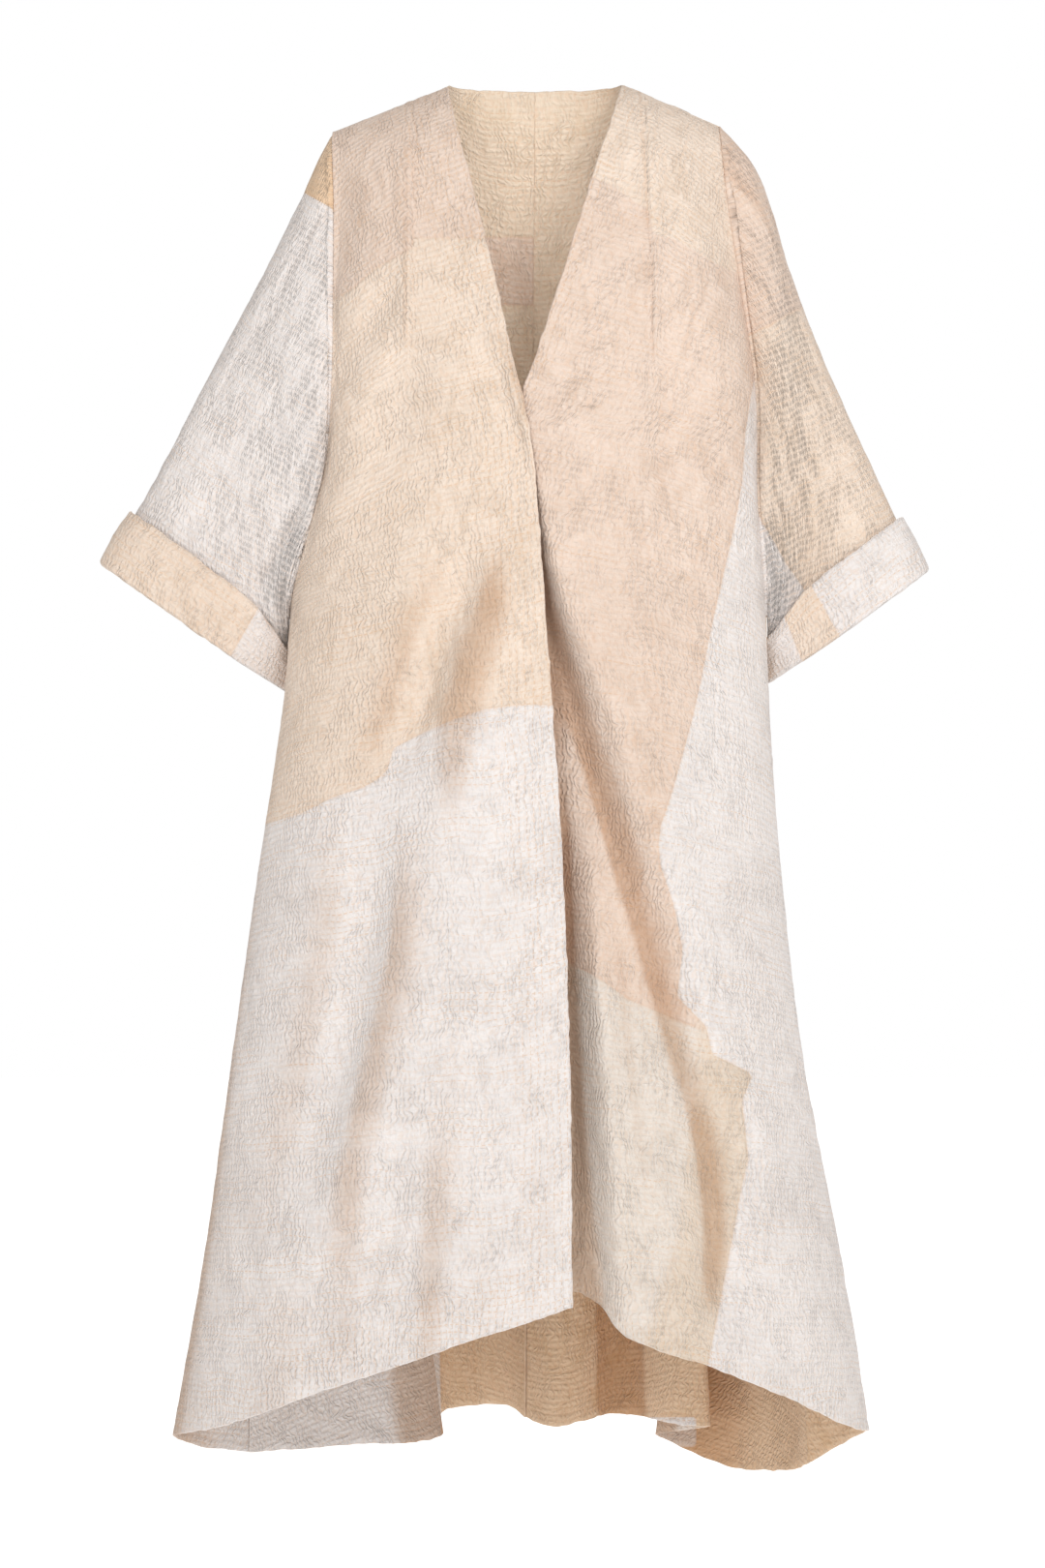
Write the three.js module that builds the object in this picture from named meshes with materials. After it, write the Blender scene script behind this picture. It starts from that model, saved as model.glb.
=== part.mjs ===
// A maxi kimono in quilted cotton, hanging filled out as if it were worn.
// Millimetres, +Z up. The wearer faces -Y, and the origin is midway between the two neck points.
// "left" and "right" are the sides as they are seen from the front: left is -X, right is +X.
//
// Every piece is a grid of points on the middle of the cloth, thickened along its normals.
// The body is a stack of rings: half widths and depths come from a table by height, and the
// last ring is the hem, whose line is a table of its own. Folds are troughs and ridges along lines.

import * as THREE from "three";

// Driving dimensions
const clothThickness = 2.0;
const seamGap = 0.36; // between the edges of two pieces that are sewn together
const shoulderRound = 70; // height over which the body turns over the shoulder
const underarmHeight = -500;
const cuffHeight = 52;
const cuffStandOff = 8.5; // how far the turned-up cuff stands off the sleeve
const backNeckDepth = 58; // how far the back neck edge lies behind the shoulder line
const backNeckRise = 6;
const foldPower = 1.6; // how fast the hem's waves fade upwards
const foldEnds = 0.3; // share of a fold's line over which it fades at each end
const stillShare = 0.12; // share of a piece's width beside a seam where its folds fade
const outFlatness = 1.6; // folds move the cloth more forwards than sideways

// Grid of each piece
const shoulderRows = 5;
const armholeRows = 9;
const rowCrowding = 1.3; // the rows lie closer together towards the underarm
const skirtRows = 19;
const frontColumns = 17;
const backColumns = 18;
const sleeveColumns = 11;

// Colours
const sand = 0xe2ccb0;
const ivory = 0xe9e3de;
const wheat = 0xdcc29a;
const armColours = { left: [ivory, sand], right: [sand, ivory] }; // sleeve, cuff

// Body ring by height: half width on each side, depth of the front and of the back.
const bodyRings = [
  { z: 20, left: 222, right: 226, front: 58, back: 60 },
  { z: -40, left: 224, right: 226, front: 72, back: 70 },
  { z: -110, left: 225, right: 228, front: 94, back: 90 },
  { z: -200, left: 226, right: 230, front: 112, back: 104 },
  { z: -300, left: 224, right: 230, front: 119, back: 106 },
  { z: -400, left: 220, right: 223, front: 122, back: 102 },
  { z: -500, left: 227, right: 223, front: 125, back: 102 },
  { z: -586, left: 235, right: 227, front: 129, back: 108 },
  { z: -734, left: 258, right: 237, front: 136, back: 120 },
  { z: -918, left: 283, right: 257, front: 146, back: 137 },
  { z: -1102, left: 308, right: 291, front: 156, back: 155 },
  { z: -1276, left: 338, right: 319, front: 165, back: 172 },
  { z: -1345, left: 348, right: 329, front: 168, back: 178 },
];

// Where the front ends: the armhole down to the underarm, then the side seam.
// Degrees round the ring from the middle of the front.
const sideAngles = [
  { z: 20, left: 57, right: 51 },
  { z: -40, left: 56.5, right: 52.1 },
  { z: -110, left: 55, right: 54.6 },
  { z: -200, left: 54.5, right: 60 },
  { z: -280, left: 55.5, right: 67 },
  { z: -350, left: 59, right: 71.5 },
  { z: -400, left: 66, right: 75 },
  { z: -440, left: 73, right: 79 },
  { z: -470, left: 80, right: 83.5 },
  { z: -488, left: 86, right: 87.5 },
  { z: -500, left: 90, right: 90 },
  { z: -586, left: 95, right: 95 },
  { z: -918, left: 103, right: 103 },
  { z: -1276, left: 111, right: 111 },
  { z: -1345, left: 112, right: 112 },
];

// The front opening's two edges, and the line of the shoulder tuck with its release below.
const openingEdges = [
  { z: 20, left: -82, right: 92 },
  { z: 2, left: -79, right: 88 },
  { z: -47, left: -69.5, right: 74 },
  { z: -90, left: -58.5, right: 60 },
  { z: -130, left: -48.5, right: 48 },
  { z: -180, left: -36.5, right: 33 },
  { z: -230, left: -24.5, right: 17 },
  { z: -280, left: -14, right: 0 },
  { z: -315, left: -5, right: -13 },
  { z: -362, left: 2, right: -26 },
  { z: -415, left: 7, right: -34 },
  { z: -508, left: 13.5, right: -38 },
  { z: -650, left: 23.5, right: -38 },
  { z: -810, left: 32, right: -38 },
  { z: -960, left: 36, right: -37 },
  { z: -1134, left: 36.5, right: -35 },
];
const tuckLines = [
  { z: 20, left: -111, right: 107 },
  { z: -12, left: -111, right: 108 },
  { z: -110, left: -110.5, right: 109.5 },
  { z: -230, left: -112, right: 116 },
  { z: -330, left: -121, right: 120 },
  { z: -445, left: -112, right: 108 },
];
// The tuck's cloth stands up beyond its line. Below evenFrom the columns spread evenly again.
const tuck = {
  column: 6,
  columnWidth: 16,
  end: -235,
  fade: 60,
  rise: 3.2,
  reach: 30,
  evenFrom: -330,
  evenOver: 200,
};

// Shoulder seams: neck point and shoulder point.
const shoulders = {
  left: { neckX: -79, neckZ: 1, pointX: -187, pointZ: -41.8, tuckShare: 0.3 },
  right: { neckX: 88, neckZ: 3, pointX: 179, pointZ: -36.2, tuckShare: 0.22 },
};
const middleBack = { top: 4, hem: -4, hemHeight: -1290, neckColumn: 7 };
// The back neck edge: its height and depth towards the neck points, and how its column spreads below.
const backNeck = {
  lift: 1.5,
  corner: 8,
  depthPower: 2.4,
  spread: 0.12,
  spreadOver: 200,
  evenFrom: -120,
  evenOver: 320,
};

// Near the underarm the sleeve leaves the body sideways before it hangs down.
const underarmTurn = {
  sideways: 46,
  below: 0.2,
  back: 4,
  down: 26,
  lowFrom: 80,
  lowOver: 60,
  faceGain: 1.2,
};
// From the middle of the sleeve's cloth to the middle of the body's: along its side, and at the underarm.
const sleeveClear = {
  side: 3.8,
  underarm: 4.2,
  underarmEnd: 0.4,
  underarmOver: 0.3,
  beyondPanel: 4,
  panelFade: 3,
};
// Points low on the armhole go further forward or back round the sleeve's end.
const sleeveTwist = { even: 0.74, power: 5 };
// The right front lies under the left one, this far behind it.
const underlap = { clear: 7 };
// The long fold where the right front drops behind the left one: the middle of its slope, how wide
// the slope is, and how deep it drops.
const dropLine = [
  { z: -180, x: -60, width: 24, depth: 0 },
  { z: -260, x: -34, width: 22, depth: 8 },
  { z: -320, x: -15, width: 20, depth: 18 },
  { z: -380, x: -1, width: 20, depth: 26 },
  { z: -465, x: 15, width: 22, depth: 30 },
  { z: -566, x: 50, width: 26, depth: 29 },
  { z: -672, x: 85, width: 28, depth: 28 },
  { z: -810, x: 131, width: 30, depth: 26 },
  { z: -908, x: 158, width: 30, depth: 22 },
  { z: -990, x: 178, width: 34, depth: 14 },
  { z: -1100, x: 196, width: 40, depth: 3 },
  { z: -1345, x: 206, width: 40, depth: 0 },
];
// Where the left front is lifted to rest on the right one.
const overlap = { softness: 5, startX: -80, fadeX: 45, from: -150, over: 150 };

// Hem lines seen from above, with the height of each point.
const hems = {
  frontLeft: [
    { x: 36.5, y: -160, z: -1134 },
    { x: 0, y: -163, z: -1146 },
    { x: -45, y: -163, z: -1161 },
    { x: -90, y: -164, z: -1177 },
    { x: -140, y: -148, z: -1196 },
    { x: -190, y: -131, z: -1215 },
    { x: -240, y: -108, z: -1237 },
    { x: -290, y: -66, z: -1259 },
    { x: -325, y: -28, z: -1272 },
    { x: -339, y: 2, z: -1280 },
    { x: -318, y: 34, z: -1295 },
    { x: -272, y: 62, z: -1306 },
  ],
  frontRight: [
    { x: -35, y: -128, z: -1122 },
    { x: 0, y: -126, z: -1123 },
    { x: 44, y: -124, z: -1126 },
    { x: 66, y: -140, z: -1138 },
    { x: 84, y: -163, z: -1159 },
    { x: 120, y: -166, z: -1174 },
    { x: 165, y: -152, z: -1190 },
    { x: 210, y: -128, z: -1211 },
    { x: 251, y: -98, z: -1233 },
    { x: 290, y: -58, z: -1257 },
    { x: 314, y: -24, z: -1270 },
    { x: 321, y: 4, z: -1275 },
    { x: 300, y: 36, z: -1293 },
    { x: 269, y: 62, z: -1317 },
  ],
  backLeft: [
    { x: -4, y: 165, z: -1290 },
    { x: -20, y: 196, z: -1284 },
    { x: -48, y: 207, z: -1284 },
    { x: -84, y: 192, z: -1287 },
    { x: -93, y: 158, z: -1293 },
    { x: -87, y: 118, z: -1299 },
    { x: -112, y: 94, z: -1302 },
    { x: -165, y: 98, z: -1304 },
    { x: -225, y: 86, z: -1307 },
    { x: -272, y: 62, z: -1306 },
  ],
  backRight: [
    { x: -4, y: 165, z: -1290 },
    { x: 22, y: 138, z: -1294 },
    { x: 52, y: 150, z: -1291 },
    { x: 80, y: 182, z: -1289 },
    { x: 106, y: 172, z: -1289 },
    { x: 128, y: 132, z: -1288 },
    { x: 150, y: 108, z: -1288 },
    { x: 172, y: 104, z: -1288 },
    { x: 175, y: 124, z: -1292 },
    { x: 150, y: 140, z: -1298 },
    { x: 126, y: 156, z: -1306 },
    { x: 136, y: 176, z: -1313 },
    { x: 165, y: 182, z: -1329 },
    { x: 200, y: 168, z: -1340 },
    { x: 235, y: 130, z: -1336 },
    { x: 258, y: 92, z: -1328 },
    { x: 269, y: 62, z: -1317 },
  ],
};

// Folds: troughs (negative depth) and ridges along a line of points, seen from the front for the
// fronts and from behind for the backs. width is the half width, and both fade at the two ends.
const folds = {
  frontLeft: [
    {
      depth: -17,
      width: 21,
      line: [
        [-44, -385],
        [-59, -453],
        [-68, -487],
        [-85, -515],
        [-94, -551],
        [-105, -582],
        [-121, -630],
        [-148, -705],
      ],
    },
    { depth: 8, width: 26, line: [[-20, -420], [-35, -520], [-62, -620], [-85, -720]] },
    {
      depth: -13,
      width: 27,
      line: [[-140, -640], [-152, -737], [-156, -800], [-185, -922], [-207, -1001], [-251, -1160]],
    },
    { depth: 6, width: 30, line: [[-105, -700], [-120, -850], [-150, -1000], [-185, -1140]] },
    { depth: -7, width: 26, line: [[-112, -215], [-124, -310], [-140, -390]] },
    { depth: -8, width: 18, line: [[-178, -310], [-157, -245], [-120, -180]] },
    { depth: -6, width: 30, line: [[-128, -960], [-130, -1080], [-128, -1215]] },
    { depth: 7, width: 24, line: [[-170, -130], [-168, -260], [-178, -380], [-200, -470]] },
  ],
  frontRight: [
    { depth: -6, width: 16, line: [[-2, -330], [6, -420], [12, -500], [28, -600], [34, -700]] },
    {
      depth: 6,
      width: 20,
      line: [[10, -380], [34, -465], [72, -566], [108, -672], [155, -810], [184, -930]],
    },
    { depth: 7, width: 40, line: [[70, -430], [105, -540], [140, -660], [165, -760]] },
    { depth: -12, width: 24, line: [[168, -930], [182, -1000], [178, -1080], [165, -1180]] },
    { depth: 8, width: 26, line: [[171, -900], [222, -1022], [255, -1152], [300, -1240]] },
    { depth: -20, width: 15, line: [[30, -640], [40, -780], [46, -920], [50, -1120]] },
    { depth: 12, width: 18, line: [[56, -720], [64, -840], [74, -960], [86, -1110]] },
    { depth: -9, width: 22, line: [[128, -180], [131, -260], [129, -350], [120, -430]] },
    { depth: 6, width: 22, line: [[168, -130], [185, -250], [196, -380], [205, -470]] },
    { depth: -7, width: 30, line: [[205, -940], [235, -1080], [262, -1230]] },
  ],
  backLeft: [
    { depth: -9, width: 32, line: [[-150, -150], [-140, -300], [-120, -460]] },
    { depth: 8, width: 34, line: [[-85, -180], [-75, -380], [-60, -620]] },
    { depth: -12, width: 40, line: [[-185, -480], [-150, -640], [-105, -820], [-90, -980]] },
    { depth: 7, width: 24, line: [[-172, -130], [-170, -260], [-182, -400]] },
  ],
  backRight: [
    { depth: -8, width: 32, line: [[155, -150], [148, -290], [125, -440]] },
    { depth: 9, width: 36, line: [[70, -220], [85, -420], [80, -640]] },
    { depth: -10, width: 38, line: [[190, -490], [174, -600], [152, -720], [132, -830]] },
    { depth: 7, width: 24, line: [[170, -130], [188, -260], [200, -400]] },
  ],
};

// Sleeve ends, where the cloth turns up: outer and inner end of the oval, half depth, shoulder round.
const sleeveEnds = {
  left: { outer: [-401, 6, -450], inner: [-228, 62, -574], halfDepth: 47, backDrop: 3 },
  right: { outer: [372, 6, -455], inner: [230, 50, -560], halfDepth: 47, backDrop: 0 },
};
// How far the line along the top of a sleeve stands above (or hangs below) a straight one.
const sleeveTops = [
  { along: 0, left: 0, right: 0 },
  { along: 0.06, left: 0, right: 9.5 },
  { along: 0.12, left: -2, right: 14.5 },
  { along: 0.2, left: -3, right: 12.5 },
  { along: 0.3, left: -4, right: 5 },
  { along: 0.4, left: -3.6, right: 0.5 },
  { along: 0.55, left: -2.8, right: -2.8 },
  { along: 0.8, left: -2.6, right: -3.2 },
  { along: 1, left: 0, right: -2 },
];
// The armhole seam lies in a crease, which fades towards the underarm.
const armholeSink = { depth: 16, reach: 30, fadeFrom: 40, fadeOver: 130 };
const sleeveFlow = { power: 1.15, length: 320, foldStart: 0.2, foldEnd: 0.25 };
// Folds along a sleeve: where they lie round it (degrees from the top, front first), depth, width, ends.
const sleeveFolds = [
  { at: 105, depth: -7, width: 20, from: 0.1, to: 0.85 },
  { at: 130, depth: 4, width: 18, from: 0.3, to: 0.85 },
  { at: 60, depth: -3, width: 26, from: 0.2, to: 0.8 },
  { at: 240, depth: -5, width: 24, from: 0.25, to: 0.85 },
  { at: 290, depth: -4, width: 26, from: 0.2, to: 0.9 },
];

const degrees = Math.PI / 180;
const mix = (a, b, t) => a + (b - a) * t;
const clamp01 = (t) => Math.min(1, Math.max(0, t));
const smooth = (t) => clamp01(t) * clamp01(t) * (3 - 2 * clamp01(t));

// A smooth curve through values at rising positions: cubic pieces whose slopes come from both neighbours.
function curveThrough(at, values, position) {
  const last = at.length - 1;
  const x = Math.min(at[last], Math.max(at[0], position));
  let k = 0;
  while (k < last - 1 && x > at[k + 1]) k += 1;
  const slope = (i) => {
    const before = Math.max(0, i - 1);
    const after = Math.min(last, i + 1);
    return (values[after] - values[before]) / (at[after] - at[before]);
  };
  const span = at[k + 1] - at[k];
  const t = (x - at[k]) / span;
  const t2 = t * t;
  const t3 = t2 * t;
  return (
    (2 * t3 - 3 * t2 + 1) * values[k] +
    (t3 - 2 * t2 + t) * span * slope(k) +
    (3 * t2 - 2 * t3) * values[k + 1] +
    (t3 - t2) * span * slope(k + 1)
  );
}

// A table's column at a height. The rows run from the highest to the lowest.
function byHeight(table, column, z) {
  const at = table.map((row) => -row.z);
  return curveThrough(at, table.map((row) => row[column]), -z);
}

// A point on the body's ring: angle in degrees from the middle of the front, positive to the right.
function ringPoint(angle, z, turnOver = 1) {
  const side = angle < 0 ? "left" : "right";
  const a = angle * degrees;
  const depth = byHeight(bodyRings, Math.cos(a) > 0 ? "front" : "back", z);
  return [Math.sin(a) * byHeight(bodyRings, side, z), -Math.cos(a) * depth * turnOver, z];
}

const angleOfX = (x, z) => Math.asin(x / byHeight(bodyRings, x < 0 ? "left" : "right", z)) / degrees;

// A hem line at a share of its length.
function hemPoint(rows, share) {
  const at = [0];
  rows.slice(1).forEach((row, i) => at.push(at[i] + Math.hypot(row.x - rows[i].x, row.y - rows[i].y)));
  const position = share * at[at.length - 1];
  return ["x", "y", "z"].map((column) => curveThrough(at, rows.map((row) => row[column]), position));
}

// How far one fold moves the cloth at (x, z): full along its line, less to the sides and ends.
function foldAt(fold, x, z) {
  let nearest = Infinity;
  let alongShare = 0;
  const count = fold.line.length - 1;
  for (let k = 0; k < count; k += 1) {
    const [x0, z0] = fold.line[k];
    const [x1, z1] = fold.line[k + 1];
    const dx = x1 - x0;
    const dz = z1 - z0;
    const t = clamp01(((x - x0) * dx + (z - z0) * dz) / (dx * dx + dz * dz));
    const distance = Math.hypot(x - x0 - t * dx, z - z0 - t * dz);
    if (distance < nearest) {
      nearest = distance;
      alongShare = (k + t) / count;
    }
  }
  const across = Math.exp(-((nearest / fold.width) ** 2));
  const ends = smooth(alongShare / foldEnds) * smooth((1 - alongShare) / foldEnds);
  return fold.depth * across * ends;
}

// Rows from the shoulder to the hem. turn runs from 0 to 90 degrees over the shoulder.
const bodyRows = shoulderRows + armholeRows + skirtRows;
const underarmRow = shoulderRows + armholeRows;
function rowHeight(row, top, hem, upright = 0) {
  if (row <= shoulderRows) {
    const turn = row / shoulderRows;
    const drop = mix(1 - Math.cos(turn * 90 * degrees), turn, upright);
    return { z: top - shoulderRound * drop, turnOver: Math.sin(turn * 90 * degrees), turn };
  }
  if (row <= underarmRow) {
    const t = 1 - (1 - (row - shoulderRows) / armholeRows) ** rowCrowding;
    return { z: mix(top - shoulderRound, underarmHeight, t), turnOver: 1, turn: 1 };
  }
  const t = (row - underarmRow) / skirtRows;
  return { z: mix(underarmHeight, hem, t), turnOver: 1, turn: 1 };
}

// The skirt follows its hem line more and more towards the hem.
function towardsHem(point, ring, hem, share, z) {
  const w = clamp01((underarmHeight - z) / (underarmHeight - hem[2])) ** foldPower;
  const base = ring(share, hem[2]);
  return [point[0] + (hem[0] - base[0]) * w, point[1] + (hem[1] - base[1]) * w, point[2]];
}

// Moves a body point out from the middle of its ring.
function pushOut([x, y, z], distance) {
  const forward = y * outFlatness;
  const length = Math.hypot(x, forward) || 1;
  return [x + (x / length) * distance, y + (forward / length) * distance, z];
}

// How deep the cloth sinks towards the armhole seam, less and less towards the underarm.
function armholeCrease(distance, z) {
  const fade = smooth((z - underarmHeight - armholeSink.fadeFrom) / armholeSink.fadeOver);
  return armholeSink.depth * Math.exp(-((distance / armholeSink.reach) ** 2)) * fade;
}
function sinkAtArmhole(point, distance, turn) {
  const sink = armholeCrease(distance, point[2]) * turn;
  return [point[0], point[1] - Math.sign(point[1]) * sink, point[2]];
}

const tuckShare = tuck.column / frontColumns;
const neckShare = middleBack.neckColumn / backColumns;

const allFolds = (name, x, z) => folds[name].reduce((sum, fold) => sum + foldAt(fold, x, z), 0);

// The right front's folds and how far it lies behind the left front.
function underFront(x, z, turn) {
  const inside = smooth((byHeight(dropLine, "x", z) - x) / byHeight(dropLine, "width", z) + 0.5);
  return allFolds("frontRight", x, z) * turn - byHeight(dropLine, "depth", z) * inside;
}

// How far the ring's angle has to turn for the point to lie on the straight shoulder seam.
function shoulderTurn(side, along, ringAngle) {
  const { neckX, neckZ, pointX, pointZ } = shoulders[side];
  const z = mix(neckZ, pointZ, along);
  return angleOfX(mix(neckX, pointX, along), z) - ringAngle(z);
}

// One front: share 0 is the opening edge, share 1 the armhole and side seam.
function frontPoint(side, share, row) {
  const sign = side === "left" ? -1 : 1;
  const name = side === "left" ? "frontLeft" : "frontRight";
  const { neckZ, pointZ, tuckShare: seamShare } = shoulders[side];
  const along = share < tuckShare
    ? (share / tuckShare) * seamShare
    : mix(seamShare, 1, (share - tuckShare) / (1 - tuckShare));
  const hem = hemPoint(hems[name], share);
  const { z, turnOver, turn } = rowHeight(row, mix(neckZ, pointZ, along), hem[2]);

  const ringAngle = (s, height) => {
    const edge = angleOfX(byHeight(openingEdges, side, height), height);
    const end = sign * byHeight(sideAngles, side, height);
    const even = mix(edge, end, tuckShare);
    const pleat = angleOfX(byHeight(tuckLines, side, Math.max(height, underarmHeight)), height);
    const tuckAngle = mix(pleat, even, smooth((tuck.evenFrom - height) / tuck.evenOver));
    return s < tuckShare
      ? mix(edge, tuckAngle, s / tuckShare)
      : mix(tuckAngle, end, (s - tuckShare) / (1 - tuckShare));
  };
  const ring = (s, height) => ringPoint(ringAngle(s, height), height);
  const seamTurn = shoulderTurn(side, along, (height) => ringAngle(share, height)) * (1 - turn);
  let point = ringPoint(ringAngle(share, z) + seamTurn, z, turnOver);
  if (z < underarmHeight) point = towardsHem(point, ring, hem, share, z);

  const armhole = ring(1, z);
  const distance = Math.hypot(point[0] - armhole[0], point[1] - armhole[1] * turnOver);
  point = sinkAtArmhole(point, distance, turn * turn);

  let out = side === "right" ? underFront(point[0], z, turn) : allFolds(name, point[0], z) * turn;
  if (side === "left") {
    // The upper front rests on the under one.
    const rest = underFront(point[0], z, turn) + underlap.clear;
    const lift = 0.5 * (rest - out + Math.hypot(rest - out, overlap.softness));
    const inner = smooth((point[0] - overlap.startX) / overlap.fadeX);
    out += lift * inner * smooth((overlap.from - z) / overlap.over);
  }
  const beyond = (share * frontColumns - tuck.column) * tuck.columnWidth;
  const held = smooth((z - tuck.end + tuck.fade) / tuck.fade);
  const onTuck = beyond > -tuck.columnWidth / 2;
  if (onTuck) out += tuck.rise * Math.exp(-((beyond / tuck.reach) ** 2)) * held * turn;
  const seamFade = smooth((1 - share) / stillShare);
  return pushOut(point, out * seamFade);
}

// One back: share 0 is the middle back seam, share 1 the armhole and side seam.
function backPoint(side, share, row) {
  const sign = side === "left" ? -1 : 1;
  const name = side === "left" ? "backLeft" : "backRight";
  const { neckZ, pointZ } = shoulders[side];
  const inNeck = clamp01(share / neckShare);
  const along = clamp01((share - neckShare) / (1 - neckShare));
  const hem = hemPoint(hems[name], share);
  const middleZ = (shoulders.left.neckZ + shoulders.right.neckZ) / 2 + backNeckRise;
  const neckTop = mix(middleZ + backNeck.lift * inNeck, neckZ, inNeck ** backNeck.corner);
  const upright = 1 - smooth(inNeck);
  const { z, turnOver, turn } = rowHeight(row, mix(neckTop, pointZ, along), hem[2], upright);

  const middleX = (height) => mix(middleBack.top, middleBack.hem, clamp01(height / middleBack.hemHeight));
  const ringAngle = (s, height) => {
    const middle = angleOfX(middleX(height), height);
    const neckX = byHeight(openingEdges, side, neckZ);
    const spread = 1 + backNeck.spread * clamp01(-height / backNeck.spreadOver);
    const neckAngle = angleOfX(neckX * spread, height);
    const end = sign * (height > underarmHeight
      ? byHeight(sideAngles, side, height)
      : 180 - byHeight(sideAngles, side, height));
    const even = mix(middle, end, neckShare);
    const knee = mix(neckAngle, even, smooth((backNeck.evenFrom - height) / backNeck.evenOver));
    return s < neckShare
      ? mix(middle, knee, s / neckShare)
      : mix(knee, end, (s - neckShare) / (1 - neckShare));
  };
  const onBack = (angle) => (angle < 0 ? -180 - angle : 180 - angle);
  const ring = (s, height) => ringPoint(onBack(ringAngle(s, height)), height);
  const ownAngle = (height) => ringAngle(share, height);
  const seamTurn = shoulderTurn(side, along, ownAngle) * (1 - turn) * (1 - upright);
  let point = ringPoint(onBack(ringAngle(share, z) + seamTurn), z);
  const topY = backNeckDepth * (1 - inNeck ** backNeck.depthPower);
  point[1] = mix(topY, point[1], mix(turnOver, turn, upright));
  if (z < underarmHeight) point = towardsHem(point, ring, hem, share, z);

  const armhole = ring(1, z);
  const distance = Math.hypot(point[0] - armhole[0], point[1] - armhole[1] * turnOver);
  point = sinkAtArmhole(point, distance, turn * turn);
  const seamFade = smooth((1 - share) / stillShare) * smooth(share / stillShare);
  return pushOut(point, allFolds(name, point[0], z) * turn * seamFade);
}

// The armhole's ring: down the front from the shoulder point to the underarm, and up the back.
function armholeRing(side) {
  const front = [];
  const back = [];
  for (let row = 0; row <= underarmRow; row += 1) {
    front.push(frontPoint(side, 1, row));
    back.push(backPoint(side, 1, row));
  }
  return [...front, ...back.slice(1, -1).reverse()];
}

// Degrees round the sleeve of each armhole point, by its share of the armhole's length.
function ringDegrees(ring) {
  const half = underarmRow;
  const point = (i) => new THREE.Vector3(...ring[i % ring.length]);
  const step = (i, j) => point(i).distanceTo(point(j));
  const lengths = [0];
  for (let i = 0; i < ring.length; i += 1) lengths.push(lengths[i] + step(i, i + 1));
  const front = (i) => lengths[i] / lengths[half];
  const back = (i) => (lengths[ring.length] - lengths[i]) / (lengths[ring.length] - lengths[half]);
  const round = (share) => 180 * mix(share ** sleeveTwist.power, share, sleeveTwist.even);
  return ring.map((_, i) => (i <= half ? round(front(i)) : 360 - round(back(i))));
}

const vector = (p) => new THREE.Vector3(p[0], p[1], p[2]);

// The oval where the sleeve ends, with the way out of it and the way up the sleeve.
function sleeveEnd(side, angle) {
  const { outer, inner, halfDepth, backDrop } = sleeveEnds[side];
  const middle = vector(outer).add(vector(inner)).multiplyScalar(0.5);
  const half = vector(inner).sub(vector(outer)).multiplyScalar(0.5);
  const depth = new THREE.Vector3(0, -halfDepth, backDrop / 2);
  const c = -Math.cos(angle * degrees);
  const s = Math.sin(angle * degrees);
  const point = middle.clone().addScaledVector(half, c).addScaledVector(depth, s);
  const out = half.clone().multiplyScalar(c * halfDepth).addScaledVector(depth, s * half.length());
  return { point, out: out.normalize() };
}

// Keeps a sleeve point clear of the front or back panel that it hangs against.
function besideBody(point, t, low) {
  if (t === 0) return point;
  const side = point.x < 0 ? "left" : "right";
  const z = point.z;
  const end = z > underarmHeight ? byHeight(sideAngles, side, z) : 90;
  const [edgeX, edgeY] = ringPoint(end, z);
  const toEdge = Math.hypot(Math.abs(point.x) - Math.abs(edgeX), Math.abs(point.y) - Math.abs(edgeY));
  const across = Math.abs(point.x) / byHeight(bodyRings, side, z);
  const depth = byHeight(bodyRings, point.y < 0 ? "front" : "back", z);
  const along = (Math.abs(point.y) + armholeCrease(toEdge, z)) / depth;
  const angle = Math.atan2(across, along) / degrees;
  const overPanel = z > underarmHeight
    ? smooth((end + sleeveClear.beyondPanel - angle) / sleeveClear.panelFade)
    : 1;
  const radius = Math.hypot(across, along);
  const atUnderarm = low * smooth((sleeveClear.underarmEnd - t) / sleeveClear.underarmOver);
  const clear = mix(sleeveClear.side, sleeveClear.underarm, atUnderarm);
  const wanted = 1 + clear / byHeight(bodyRings, side, z);
  const scale = 1 + (Math.max(0, wanted - radius) * overPanel) / radius;
  return point.set(point.x * scale, point.y * scale, z);
}

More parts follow.
